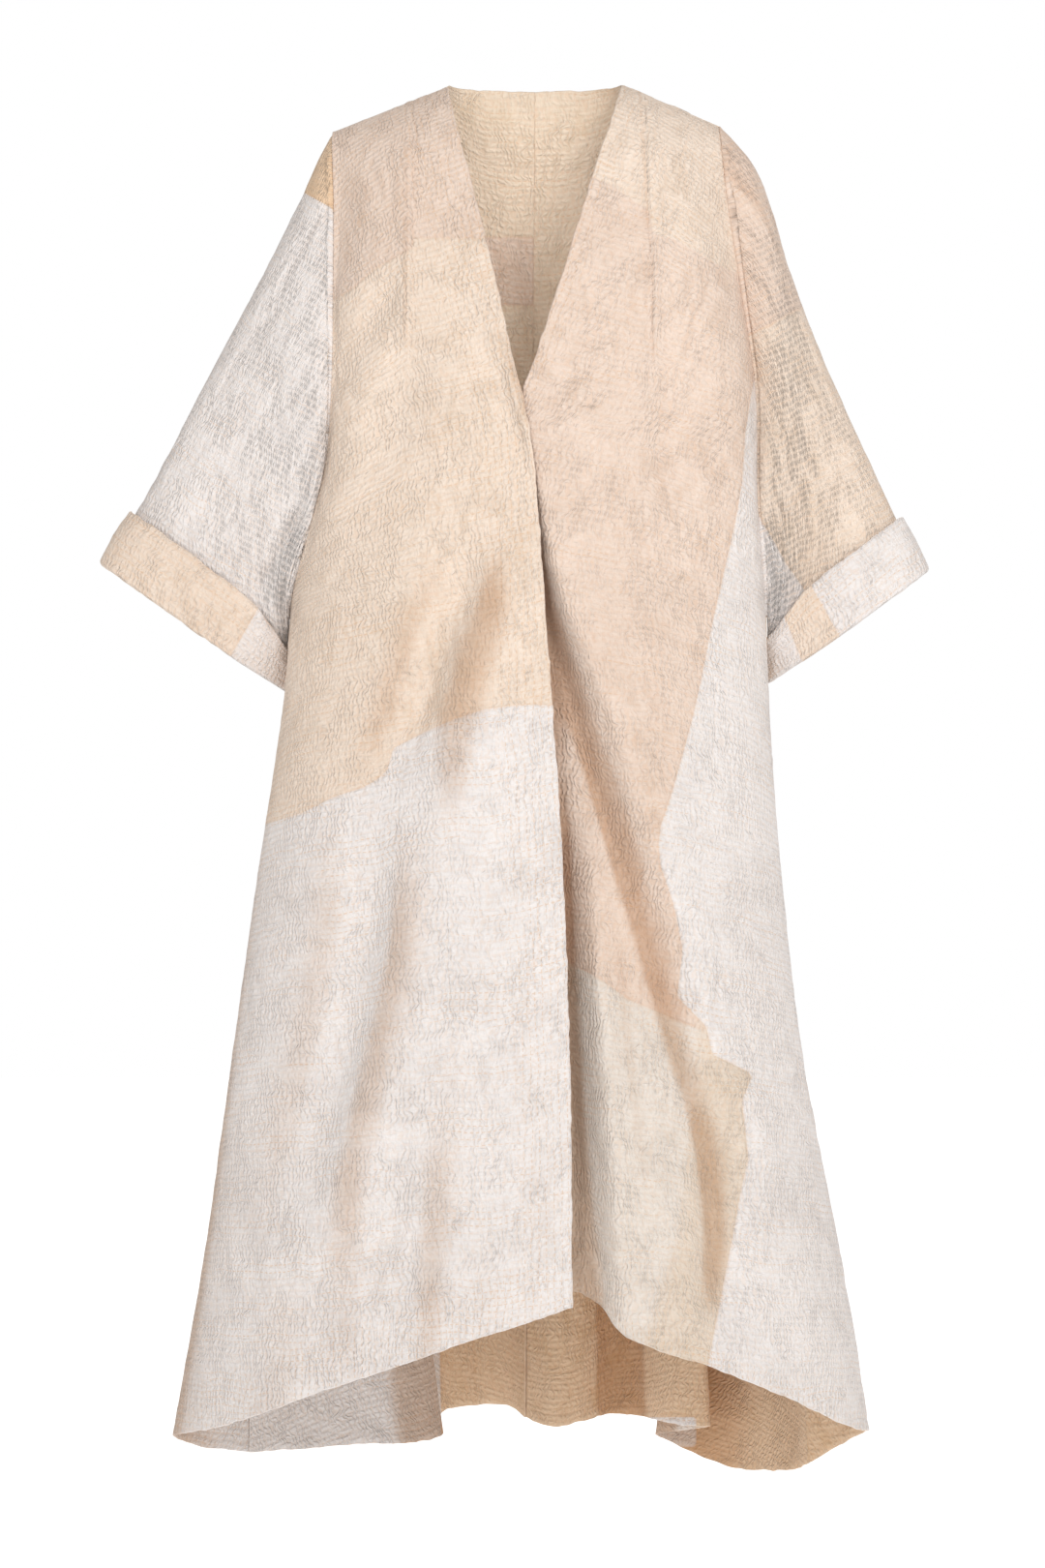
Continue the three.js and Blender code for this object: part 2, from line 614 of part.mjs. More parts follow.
// One sleeve: rings from the armhole to the turn-up.
function sleeveGrid(side) {
  const ring = armholeRing(side);
  const angles = ringDegrees(ring);
  const topPlaces = sleeveTops.map((row) => row.along);
  const topHeights = sleeveTops.map((row) => row[side]);
  return angles.map((angle, i) => {
    const start = vector(ring[i]);
    const { point: end, out } = sleeveEnd(side, angle);
    const low = smooth((Math.min(angle, 360 - angle) - underarmTurn.lowFrom) / underarmTurn.lowOver);
    const sideways = start.clone();
    const towardsFace = Math.min(1, underarmTurn.faceGain * Math.abs(Math.sin(angle * degrees)));
    sideways.x += (start.x < 0 ? -1 : 1) * underarmTurn.sideways * mix(underarmTurn.below, 1, towardsFace);
    sideways.y += underarmTurn.back * (1 - towardsFace);
    sideways.z -= underarmTurn.down;
    const knee = start.clone().lerp(end, 0.5).lerp(sideways, low);
    const column = [];
    for (let k = 0; k <= sleeveColumns; k += 1) {
      const t = (k / sleeveColumns) ** sleeveFlow.power;
      const point = start.clone().multiplyScalar((1 - t) ** 2);
      point.addScaledVector(knee, 2 * t * (1 - t)).addScaledVector(end, t ** 2);
      const front = Math.sin(angle * degrees);
      const top = Math.max(0, Math.cos(angle * degrees)) ** 2;
      const away = 1 - Math.exp(-((t * sleeveFlow.length) / armholeSink.reach));
      let bulge = armholeCrease(0, start.z) * Math.abs(front) * away * (1 - t);
      bulge += top * curveThrough(topPlaces, topHeights, t);
      sleeveFolds.forEach((fold) => {
        const across = Math.exp(-(((angle - fold.at) / fold.width) ** 2));
        const rising = smooth((t - fold.from) / sleeveFlow.foldStart);
        const falling = smooth((fold.to - t) / sleeveFlow.foldEnd);
        bulge += fold.depth * across * rising * falling;
      });
      column.push(besideBody(point.addScaledVector(out, bulge), t, low));
    }
    return column;
  });
}

// One cuff: starts at the sleeve's end, turns outwards and goes up outside the sleeve.
const cuffProfile = [
  { out: 0, up: -seamGap },
  { out: 1.4, up: -3.4 },
  { out: 4.2, up: -4.6 },
  { out: 7.2, up: -3.2 },
  { out: cuffStandOff, up: 0 },
  { out: cuffStandOff + 0.6, up: 0.3 * cuffHeight },
  { out: cuffStandOff, up: 0.65 * cuffHeight },
  { out: cuffStandOff - 2.2, up: cuffHeight },
];
// The point on a sleeve's column at a distance above its end. Negative distances lie below it.
function pointAbove(column, distance) {
  let k = column.length - 1;
  let left = distance;
  while (k > 1 && left > column[k].distanceTo(column[k - 1])) {
    left -= column[k].distanceTo(column[k - 1]);
    k -= 1;
  }
  const up = column[k - 1].clone().sub(column[k]).normalize();
  return column[k].clone().addScaledVector(up, left);
}

function cuffGrid(side, sleeve) {
  const angles = ringDegrees(armholeRing(side));
  return sleeve.map((column, i) => {
    const up = column[column.length - 2].clone().sub(column[column.length - 1]).normalize();
    const { out } = sleeveEnd(side, angles[i]);
    out.addScaledVector(up, -out.dot(up)).normalize();
    return cuffProfile.map((row) => {
      const point = pointAbove(column, row.up).addScaledVector(out, row.out);
      return row.up > 0 ? besideBody(point, 1, 0) : point;
    });
  });
}

// Normals of a grid of points, from the neighbours on both sides.
// closed joins the last column to the first.
function gridNormals(grid, closed) {
  const columns = grid.length;
  const rows = grid[0].length;
  return grid.map((column, i) => column.map((_, j) => {
    const left = closed ? (i - 1 + columns) % columns : Math.max(0, i - 1);
    const right = closed ? (i + 1) % columns : Math.min(columns - 1, i + 1);
    const across = grid[right][j].clone().sub(grid[left][j]);
    const down = grid[i][Math.min(rows - 1, j + 1)].clone().sub(grid[i][Math.max(0, j - 1)]);
    return down.cross(across).normalize();
  }));
}

// The shoulder seam lies straight above the shoulder: the cloth on both sides of it is level there.
function levelTheShoulders({ grid, normals, closed }) {
  if (closed) return;
  grid.forEach((column, i) => {
    if (Math.abs(column[0].y) < 1e-6) normals[i][0].setY(0).normalize();
  });
}

// Pieces that meet share one normal at each point of the seam, so that their edges are parallel.
// The fronts and backs come first. A sleeve then meets them halfway.
function shareNormals(bodyPieces, sleeves) {
  const shared = new Map();
  const key = (p) => [p.x, p.y, p.z].map((v) => Math.round(v * 50)).join(" ");
  const eachPoint = (list, visit) => list.forEach((piece) => piece.grid.forEach((column, i) =>
    column.forEach((point, j) => visit(piece, i, j, key(point)))));
  const add = (piece, i, j, k) => {
    if (!shared.has(k)) shared.set(k, new THREE.Vector3());
    shared.get(k).add(piece.normals[i][j]);
  };
  const take = (piece, i, j, k) => {
    piece.normals[i][j] = shared.get(k).clone().normalize();
  };
  eachPoint(bodyPieces, add);
  shared.forEach((normal) => normal.normalize());
  eachPoint(sleeves, add);
  eachPoint([...bodyPieces, ...sleeves], take);
}

// Draws a piece's sewn edges back by half of the seam gap.
function drawBack(piece) {
  const { grid, closed, sewn } = piece;
  const last = grid.length - 1;
  const end = grid[0].length - 1;
  const copy = grid.map((column) => column.map((point) => point.clone()));
  const towards = (i, j, ni, nj) => {
    const way = grid[ni][nj].clone().sub(grid[i][j]).normalize();
    copy[i][j].addScaledVector(way, seamGap / 2);
  };
  for (let j = 0; j <= end; j += 1) {
    if (!closed && sewn.includes("first")) towards(0, j, 1, j);
    if (!closed && sewn.includes("last")) towards(last, j, last - 1, j);
  }
  for (let i = 0; i <= last; i += 1) {
    if (sewn.includes("top")) towards(i, 0, i, 1);
    if (sewn.includes("bottom")) towards(i, end, i, end - 1);
  }
  piece.grid = copy;
}

// Thickens a grid into one closed wall.
function wallGeometry({ grid, normals, closed }) {
  const columns = grid.length;
  const rows = grid[0].length;
  const positions = [];
  const faces = [];
  [1, -1].forEach((side) => grid.forEach((column, i) => column.forEach((point, j) => {
    const moved = point.clone().addScaledVector(normals[i][j], (side * clothThickness) / 2);
    positions.push(moved.x, moved.y, moved.z);
  })));
  const outer = (i, j) => (i % columns) * rows + j;
  const inner = (i, j) => columns * rows + outer(i, j);
  const quad = (a, b, c, d) => faces.push(a, b, c, a, c, d);
  const spans = closed ? columns : columns - 1;
  for (let i = 0; i < spans; i += 1) {
    for (let j = 0; j < rows - 1; j += 1) {
      quad(outer(i, j), outer(i, j + 1), outer(i + 1, j + 1), outer(i + 1, j));
      quad(inner(i, j), inner(i + 1, j), inner(i + 1, j + 1), inner(i, j + 1));
    }
    quad(outer(i + 1, 0), inner(i + 1, 0), inner(i, 0), outer(i, 0));
    quad(outer(i + 1, rows - 1), outer(i, rows - 1), inner(i, rows - 1), inner(i + 1, rows - 1));
  }
  if (!closed) {
    for (let j = 0; j < rows - 1; j += 1) {
      quad(outer(0, j + 1), outer(0, j), inner(0, j), inner(0, j + 1));
      const end = columns - 1;
      quad(outer(end, j), outer(end, j + 1), inner(end, j + 1), inner(end, j));
    }
  }
  const geometry = new THREE.BufferGeometry();
  geometry.setAttribute("position", new THREE.Float32BufferAttribute(positions, 3));
  geometry.setIndex(faces);
  geometry.computeVertexNormals();
  return geometry;
}

// The grid of a front or back. Its columns run from left to right as seen from outside.
function panelGrid(pointAt, side, columns, flip) {
  const grid = [];
  for (let i = 0; i <= columns; i += 1) {
    const column = [];
    for (let row = 0; row <= bodyRows; row += 1) column.push(vector(pointAt(side, i / columns, row)));
    grid.push(column);
  }
  return flip ? grid.reverse() : grid;
}

const pieces = [
  {
    name: "front_left",
    colour: sand,
    grid: panelGrid(frontPoint, "left", frontColumns, true),
    sewn: ["first", "top"],
  },
  {
    name: "front_right",
    colour: sand,
    grid: panelGrid(frontPoint, "right", frontColumns, false),
    sewn: ["last", "top"],
  },
  {
    name: "back_left",
    colour: wheat,
    grid: panelGrid(backPoint, "left", backColumns, false),
    sewn: ["first", "last", "top"],
  },
  {
    name: "back_right",
    colour: wheat,
    grid: panelGrid(backPoint, "right", backColumns, true),
    sewn: ["first", "last", "top"],
  },
];
["left", "right"].forEach((side) => {
  const sleeve = sleeveGrid(side);
  const cuff = cuffGrid(side, sleeve);
  const order = (grid) => (side === "left" ? grid : [...grid].reverse());
  const [sleeveColour, cuffColour] = armColours[side];
  pieces.push({
    name: `sleeve_${side}`,
    colour: sleeveColour,
    grid: order(sleeve),
    closed: true,
    sewn: ["top", "bottom"],
  });
  pieces.push({ name: `cuff_${side}`, colour: cuffColour, grid: order(cuff), closed: true, sewn: [] });
});

pieces.forEach((piece) => {
  piece.normals = gridNormals(piece.grid, piece.closed);
  levelTheShoulders(piece);
});
shareNormals(pieces.slice(0, 4), pieces.filter((piece) => piece.name.startsWith("sleeve")));
// A cuff starts along its sleeve's end, so the two edges are parallel too.
["left", "right"].forEach((side) => {
  const normalsOf = (name) => pieces.find((piece) => piece.name === `${name}_${side}`).normals;
  const sleeve = normalsOf("sleeve");
  normalsOf("cuff").forEach((column, i) => column[0].copy(sleeve[i][sleeve[i].length - 1]));
});
pieces.forEach(drawBack);

const kimono = new THREE.Group();
pieces.forEach((piece) => {
  const cotton = new THREE.MeshStandardMaterial({ color: piece.colour, roughness: 0.92, metalness: 0 });
  const mesh = new THREE.Mesh(wallGeometry(piece), cotton);
  mesh.name = piece.name;
  kimono.add(mesh);
});

export default kimono;
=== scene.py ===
# Maxi kimono in hand-quilted cotton, hanging filled out as if it were worn.
# Shapes are worked out in millimetres, with the wearer facing -Y, and become metres in the meshes.
import math
import bpy
import numpy as np
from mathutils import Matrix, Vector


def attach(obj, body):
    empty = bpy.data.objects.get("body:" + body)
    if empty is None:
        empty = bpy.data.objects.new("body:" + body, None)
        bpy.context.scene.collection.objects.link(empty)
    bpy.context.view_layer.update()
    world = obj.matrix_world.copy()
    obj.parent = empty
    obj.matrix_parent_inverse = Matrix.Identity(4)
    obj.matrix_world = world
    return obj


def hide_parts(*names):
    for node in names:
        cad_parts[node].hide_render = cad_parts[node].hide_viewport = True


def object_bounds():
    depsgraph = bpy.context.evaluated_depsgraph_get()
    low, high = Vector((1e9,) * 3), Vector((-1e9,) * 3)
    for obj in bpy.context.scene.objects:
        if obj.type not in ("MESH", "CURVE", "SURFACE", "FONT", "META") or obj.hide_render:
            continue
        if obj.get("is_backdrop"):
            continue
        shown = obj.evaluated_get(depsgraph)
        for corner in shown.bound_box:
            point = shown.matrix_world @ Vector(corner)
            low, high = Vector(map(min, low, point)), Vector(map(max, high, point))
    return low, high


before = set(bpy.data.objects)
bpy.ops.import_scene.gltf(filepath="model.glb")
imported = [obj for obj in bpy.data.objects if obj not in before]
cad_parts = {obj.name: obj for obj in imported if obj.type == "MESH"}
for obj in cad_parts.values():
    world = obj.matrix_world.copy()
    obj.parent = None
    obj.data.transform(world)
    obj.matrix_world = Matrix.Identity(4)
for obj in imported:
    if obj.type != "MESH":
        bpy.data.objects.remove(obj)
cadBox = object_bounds()
print("frame loaded:", len(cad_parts), "nodes")

# shader nodes


def addNode(tree, kind, inputs=None, **settings):
    # makes a node, and links or sets each named input
    made = tree.nodes.new(kind)
    for key, value in settings.items():
        setattr(made, key, value)
    for key, value in (inputs or {}).items():
        if isinstance(value, bpy.types.NodeSocket):
            tree.links.new(value, made.inputs[key])
        else:
            made.inputs[key].default_value = value
    return made


def calc(tree, operation, a, b=0.0, c=0.0):
    return addNode(tree, "ShaderNodeMath", {0: a, 1: b, 2: c}, operation=operation).outputs[0]


def times(tree, a, b):
    return calc(tree, "MULTIPLY", a, b)


def minus(tree, a, b):
    return calc(tree, "SUBTRACT", a, b)


def timesPlus(tree, a, b, c):
    return calc(tree, "MULTIPLY_ADD", a, b, c)


def attribute(tree, name):
    return addNode(tree, "ShaderNodeAttribute", attribute_name=name).outputs["Fac"]


def ramp(tree, value, low, high, toLow=0.0, toHigh=1.0):
    inputs = {"Value": value, "From Min": low, "From Max": high, "To Min": toLow, "To Max": toHigh}
    made = addNode(tree, "ShaderNodeMapRange", inputs, interpolation_type="SMOOTHSTEP")
    return made.outputs[0]


def vector(tree, x, y, z=0.0):
    return addNode(tree, "ShaderNodeCombineXYZ", {"X": x, "Y": y, "Z": z}).outputs[0]


def noise(tree, where, scale, detail=2.0, roughness=0.5):
    inputs = {"Vector": where, "Scale": scale, "Detail": detail, "Roughness": roughness}
    return addNode(tree, "ShaderNodeTexNoise", inputs).outputs["Fac"]


def blendColour(tree, share, first, second, kind="MIX"):
    inputs = {0: share, 6: first, 7: second}
    return addNode(tree, "ShaderNodeMix", inputs, data_type="RGBA", blend_type=kind).outputs[2]


def blendNumber(tree, share, first, second):
    return addNode(tree, "ShaderNodeMix", {0: share, 2: first, 3: second}).outputs[0]


# camera and light

view = {"away": 3.5, "x": -0.0074, "height": -0.660, "lens": 84.5}

camera = bpy.data.objects.new("camera", bpy.data.cameras.new("camera"))
camera.data.lens = view["lens"]
camera.data.sensor_width = 36
camera.location = (view["x"], -view["away"], view["height"])
camera.rotation_euler = (math.radians(90), 0, 0)
bpy.context.scene.collection.objects.link(camera)
bpy.context.scene.camera = camera
bpy.context.scene.view_settings.view_transform = "Standard"

studio = {
    "floorHeight": -1.50,
    "floorSize": 14.0,
    "floorColour": (0.8, 0.795, 0.79),
    "floorGlow": 0.46,  # what the floor adds to the light
    "floorSeen": 0.8,  # and what the camera sees of that
    "surround": (1.0, 0.965, 0.93),
    "surroundStrength": 0.45,
    "backdrop": 1.0,  # how bright the camera sees the surround
    # name: place, aimed at, width, height, watts, colour
    "lamps": {
        "key": ((1.2, -2.8, 1.1), (0, 0, -0.4), 0.9, 0.9, 41, (1.0, 0.995, 0.985)),
        "fill": ((-0.9, -3.0, 0.2), (0, 0, -0.4), 0.8, 0.8, 16, (1.0, 1.0, 1.0)),
        "behind": ((0.6, 2.4, 1.5), (0, 0, -0.5), 2.0, 2.0, 18, (1.0, 0.99, 0.97)),
        "insideNeck": ((0, -0.055, -0.16), (0, 0.1, -0.17), 0.13, 0.26, 0.10, (1.0, 0.98, 0.95)),
    },
}


def addLamp(name, place, aim, width, height, watts, colour):
    # a soft box turned towards its aim
    data = bpy.data.lights.new(name, "AREA")
    data.shape = "RECTANGLE"
    data.size, data.size_y = width, height
    data.energy = watts
    data.color = colour
    lamp = bpy.data.objects.new(name, data)
    away = np.array(place) - np.array(aim)
    flat = math.hypot(away[0], away[1])
    lamp.location = place
    lamp.rotation_euler = (math.atan2(flat, away[2]), 0, math.atan2(away[0], -away[1]))
    lamp.visible_camera = False
    bpy.context.scene.collection.objects.link(lamp)


for lampName, lampValues in studio["lamps"].items():
    addLamp(lampName, *lampValues)


def brighterToCamera(tree, elsewhere, seen, socket):
    # one strength for the light it gives and another for what the camera sees
    toCamera = addNode(tree, "ShaderNodeLightPath").outputs["Is Camera Ray"]
    inputs = {"Value": toCamera, "To Min": elsewhere, "To Max": seen}
    tree.links.new(addNode(tree, "ShaderNodeMapRange", inputs).outputs[0], socket)
    return toCamera


world = bpy.data.worlds.new("surround")
world.use_nodes = True
worldTree = world.node_tree
surround = worldTree.nodes["Background"].inputs
toCamera = brighterToCamera(
    worldTree, studio["surroundStrength"], studio["backdrop"], surround["Strength"])
whiter = blendColour(worldTree, toCamera, (*studio["surround"], 1), (1, 1, 1, 1))
worldTree.links.new(whiter, surround["Color"])
bpy.context.scene.world = world
print("camera and light ready")

# numbers on arrays


def mix(a, b, t):
    return a + (b - a) * t


def smooth(t):
    # 3t^2 - 2t^3, level below 0 and above 1
    t = np.clip(t, 0, 1)
    return t * t * (3 - 2 * t)


def curveThrough(at, values, position):
    # cubic pieces through the values, each slope taken from both neighbours
    at, values = np.asarray(at, float), np.asarray(values, float)
    x = np.clip(position, at[0], at[-1])
    k = np.searchsorted(at[1:-1], x, side="left")
    before = np.maximum(np.arange(len(at)) - 1, 0)
    after = np.minimum(np.arange(len(at)) + 1, len(at) - 1)
    slope = (values[after] - values[before]) / (at[after] - at[before])
    span = at[k + 1] - at[k]
    t = (x - at[k]) / span
    t2, t3 = t**2, t**3
    return (
        (2 * t3 - 3 * t2 + 1) * values[k]
        + (t3 - 2 * t2 + t) * span * slope[k]
        + (3 * t2 - 2 * t3) * values[k + 1]
        + (t3 - t2) * span * slope[k + 1]
    )


def byHeight(table, column, z):
    return curveThrough(-np.array(table["z"], float), table[column], -np.asarray(z, float))


def unit(vectors):
    return vectors / np.maximum(np.linalg.norm(vectors, axis=-1, keepdims=True), 1e-9)


def patchyNoise(u, v, cellU, cellV, seed):
    # random numbers from -1 to 1 at the corners of cells, blended smoothly inside each cell
    corners = np.random.default_rng(seed).uniform(-1, 1, (128, 128))
    a, b = u / cellU, v / cellV
    i, j = np.floor(a).astype(int), np.floor(b).astype(int)
    s, t = smooth(a - i), smooth(b - j)
    corner = lambda di, dj: corners[(i + di) % 128, (j + dj) % 128]
    return mix(mix(corner(0, 0), corner(1, 0), s), mix(corner(0, 1), corner(1, 1), s), t)


# the body's shape

body = {
    "shoulderRound": 70,  # height over which the cloth turns over the shoulder
    "underarm": -500,
    "backNeckDepth": 58,
    "backNeckRise": 6,
    "foldPower": 1.6,  # how fast the hem's waves fade upwards
    "rows": (5, 9, 19),  # down to the shoulder's end, the underarm and the hem
    "rowCrowding": 1.3,
    "tuckShare": 6 / 17,
    "neckShare": 7 / 18,
}

bodyRings = {  # half widths and depths by height
    "z": [20, -40, -110, -200, -300, -400, -500, -586, -734, -918, -1102, -1276, -1345],
    "left": [222, 224, 225, 226, 224, 220, 227, 235, 258, 283, 308, 338, 348],
    "right": [226, 226, 228, 230, 230, 223, 223, 227, 237, 257, 291, 319, 329],
    "front": [58, 72, 94, 112, 119, 122, 125, 129, 136, 146, 156, 165, 168],
    "back": [60, 70, 90, 104, 106, 102, 102, 108, 120, 137, 155, 172, 178],
}
sideAngles = {  # where a front ends, in degrees round the ring from the middle of the front
    "z": [20, -40, -110, -200, -280, -350, -400, -440, -470, -488, -500, -586, -918, -1276, -1345],
    "left": [57, 56.5, 55, 54.5, 55.5, 59, 66, 73, 80, 86, 90, 95, 103, 111, 112],
    "right": [51, 52.1, 54.6, 60, 67, 71.5, 75, 79, 83.5, 87.5, 90, 95, 103, 111, 112],
}
openingEdges = {  # x of the two edges of the front opening
    "z": [20, 2, -47, -90, -130, -180, -230, -280, -315, -362, -415, -508, -650, -810, -960, -1134],
    "left": [-82, -79, -69.5, -58.5, -48.5, -36.5, -24.5, -14, -5, 2, 7, 13.5, 23.5, 32, 36, 36.5],
    "right": [92, 88, 74, 60, 48, 33, 17, 0, -13, -26, -34, -38, -38, -38, -37, -35],
}
tuckLines = {
    "z": [20, -12, -110, -230, -330, -445],
    "left": [-111, -111, -110.5, -112, -121, -112],
    "right": [107, 108, 109.5, 116, 120, 108],
}
tuck = {
    "end": -235, "fade": 60, "rise": 3.2, "reach": 30,
    "acrossFront": 17 * 16,  # from share 0 to share 1, in mm
    "leaves": -330, "leavesOver": 200,  # below this the tuck's line gives way to an even spacing
}
sideFade = 0.12  # share of a panel over which its folds fade towards a seam
shoulders = {
    "left": {"neckX": -79, "neckZ": 1, "pointX": -187, "pointZ": -41.8, "tuckShare": 0.3},
    "right": {"neckX": 88, "neckZ": 3, "pointX": 179, "pointZ": -36.2, "tuckShare": 0.22},
}
middleBack = {"top": 4, "hem": -4}
underlap = {"clear": 7, "softness": 5}
# The long fold where the right front drops behind the left one: the middle of its slope, the
# slope's width and the drop.
dropLine = {
    "z": [-180, -260, -320, -380, -465, -566, -672, -810, -908, -990, -1100, -1345],
    "x": [-60, -34, -15, -1, 15, 50, 85, 131, 158, 178, 196, 206],
    "width": [24, 22, 20, 20, 22, 26, 28, 30, 30, 34, 40, 40],
    "depth": [0, 8, 18, 26, 30, 29, 28, 26, 22, 14, 3, 0],
}
armholeSink = {"depth": 16, "reach": 30}


def ringWidth(isLeft, z):
    return np.where(isLeft, byHeight(bodyRings, "left", z), byHeight(bodyRings, "right", z))


def ringDepth(isFront, z):
    return np.where(isFront, byHeight(bodyRings, "front", z), byHeight(bodyRings, "back", z))


def ringPoint(angle, z, turnOver=1.0):
    # x is the sine of the angle times the half width, y its cosine times the depth
    a = np.radians(angle)
    x = np.sin(a) * ringWidth(angle < 0, z)
    y = -np.cos(a) * ringDepth(np.cos(a) > 0, z) * turnOver
    return np.stack(np.broadcast_arrays(x, y, z), -1).astype(float)


def angleOfX(x, z):
    return np.degrees(np.arcsin(np.clip(x / ringWidth(x < 0, z), -1, 1)))


def hemPoint(line, share):
    # a smooth curve through the hem's points, by its length seen from above
    line = np.array(line, float)
    at = np.concatenate([[0], np.cumsum(np.hypot(*np.diff(line[:, :2], axis=0).T))])
    return np.stack([curveThrough(at, line[:, k], share * at[-1]) for k in range(3)], -1)


def segmentShare(x, z, start, end):
    # nearest place on one straight segment: share of its length, and the distance to it
    dx, dz = end[0] - start[0], end[1] - start[1]
    t = np.clip(((x - start[0]) * dx + (z - start[1]) * dz) / (dx * dx + dz * dz), 0, 1)
    return t, np.hypot(x - start[0] - t * dx, z - start[1] - t * dz)


def foldAt(fold, x, z):
    # depth times a bell across the line, faded smoothly at the line's two ends
    depth, width, line = fold
    nearest = np.full(np.shape(x), np.inf)
    along = np.zeros(np.shape(x))
    for k in range(len(line) - 1):
        t, distance = segmentShare(x, z, line[k], line[k + 1])
        closer = distance < nearest
        nearest = np.where(closer, distance, nearest)
        along = np.where(closer, (k + t) / (len(line) - 1), along)
    ends = smooth(along / 0.3) * smooth((1 - along) / 0.3)
    return depth * np.exp(-((nearest / width) ** 2)) * ends


def allFolds(lines, x, z):
    return sum(foldAt(fold, x, z) for fold in lines)


def rowHeight(row, top, hem, upright=0.0):
    # a quarter turn over the shoulder, then down to the underarm, then evenly to the hem
    shoulder, armhole, skirt = body["rows"]
    turn = np.clip(row / shoulder, 0, 1)
    drop = mix(1 - np.cos(np.radians(turn * 90)), turn, upright)
    zTurn = top - body["shoulderRound"] * drop
    t = 1 - (1 - np.clip((row - shoulder) / armhole, 0, 1)) ** body["rowCrowding"]
    zArmhole = mix(top - body["shoulderRound"], body["underarm"], t)
    zSkirt = mix(body["underarm"], hem, np.clip((row - shoulder - armhole) / skirt, 0, 1))
    z = np.where(row <= shoulder, zTurn, np.where(row <= shoulder + armhole, zArmhole, zSkirt))
    return z, np.sin(np.radians(turn * 90)), turn


def towardsHem(point, ring, hem, share, z):
    # the skirt follows its hem line more and more towards the hem
    below = np.clip((body["underarm"] - z) / (body["underarm"] - hem[..., 2]), 0, 1)
    base = ring(share, hem[..., 2])
    moved = point.copy()
    moved[..., :2] += (hem - base)[..., :2] * (below ** body["foldPower"])[..., None]
    return moved


def pushOut(point, distance):
    # away from the middle of the ring
    way = point * np.array([1, 1.6, 0])
    return point + unit(way) * distance[..., None]


def armholeCrease(distance, z):
    fade = smooth((z - body["underarm"] - 40) / 130)
    return armholeSink["depth"] * np.exp(-((distance / armholeSink["reach"]) ** 2)) * fade


def sinkAtArmhole(point, ring, z, turnOver, turn):
    armhole = ring(1.0, z)
    distance = np.hypot(point[..., 0] - armhole[..., 0], point[..., 1] - armhole[..., 1] * turnOver)
    moved = point.copy()
    moved[..., 1] -= np.sign(point[..., 1]) * armholeCrease(distance, point[..., 2]) * turn
    return moved


def shoulderTurn(side, along, ringAngle):
    # how far the ring's angle turns for the point to lie on the straight shoulder seam
    seam = shoulders[side]
    z = mix(seam["neckZ"], seam["pointZ"], along)
    return angleOfX(mix(seam["neckX"], seam["pointX"], along), z) - ringAngle(z)


# fronts and backs

# Hems are x, y, z seen from above. Folds are depth, half width, and the line as x, z points.
frontHem = {
    "left": [
        (36.5, -160, -1134), (0, -163, -1146), (-45, -163, -1161), (-90, -164, -1177),
        (-140, -148, -1196), (-190, -131, -1215), (-240, -108, -1237), (-290, -66, -1259),
        (-325, -28, -1272), (-339, 2, -1280), (-318, 34, -1295), (-272, 62, -1306),
    ],
    "right": [
        (-35, -128, -1122), (0, -126, -1123), (44, -124, -1126), (66, -140, -1138),
        (84, -163, -1159), (120, -166, -1174), (165, -152, -1190), (210, -128, -1211),
        (251, -98, -1233), (290, -58, -1257), (314, -24, -1270), (321, 4, -1275),
        (300, 36, -1293), (269, 62, -1317),
    ],
}
backHem = {
    "left": [
        (-4, 165, -1290), (-20, 196, -1284), (-48, 207, -1284), (-84, 192, -1287),
        (-93, 158, -1293), (-87, 118, -1299), (-112, 94, -1302), (-165, 98, -1304),
        (-225, 86, -1307), (-272, 62, -1306),
    ],
    "right": [
        (-4, 165, -1290), (22, 138, -1294), (52, 150, -1291), (80, 182, -1289), (106, 172, -1289),
        (128, 132, -1288), (150, 108, -1288), (172, 104, -1288), (175, 124, -1292),
        (150, 140, -1298), (126, 156, -1306), (136, 176, -1313), (165, 182, -1329),
        (200, 168, -1340), (235, 130, -1336), (258, 92, -1328), (269, 62, -1317),
    ],
}
frontFolds = {
    "left": [
        (-17, 21, [(-44, -385), (-59, -453), (-68, -487), (-85, -515), (-94, -551), (-105, -582),
                   (-121, -630), (-148, -705)]),
        (8, 26, [(-20, -420), (-35, -520), (-62, -620), (-85, -720)]),
        (-13, 27, [(-140, -640), (-152, -737), (-156, -800), (-185, -922), (-207, -1001),
                   (-251, -1160)]),
        (6, 30, [(-105, -700), (-120, -850), (-150, -1000), (-185, -1140)]),
        (-7, 26, [(-112, -215), (-124, -310), (-140, -390)]),
        (-8, 18, [(-178, -310), (-157, -245), (-120, -180)]),
        (-6, 30, [(-128, -960), (-130, -1080), (-128, -1215)]),
        (7, 24, [(-170, -130), (-168, -260), (-178, -380), (-200, -470)]),
    ],
    "right": [
        (-6, 16, [(-2, -330), (6, -420), (12, -500), (28, -600), (34, -700)]),
        (6, 20, [(10, -380), (34, -465), (72, -566), (108, -672), (155, -810), (184, -930)]),
        (7, 40, [(70, -430), (105, -540), (140, -660), (165, -760)]),
        (-12, 24, [(168, -930), (182, -1000), (178, -1080), (165, -1180)]),
        (8, 26, [(171, -900), (222, -1022), (255, -1152), (300, -1240)]),
        (-20, 15, [(30, -640), (40, -780), (46, -920), (50, -1120)]),
        (12, 18, [(56, -720), (64, -840), (74, -960), (86, -1110)]),
        (-9, 22, [(128, -180), (131, -260), (129, -350), (120, -430)]),
        (6, 22, [(168, -130), (185, -250), (196, -380), (205, -470)]),
        (-7, 30, [(205, -940), (235, -1080), (262, -1230)]),
    ],
}
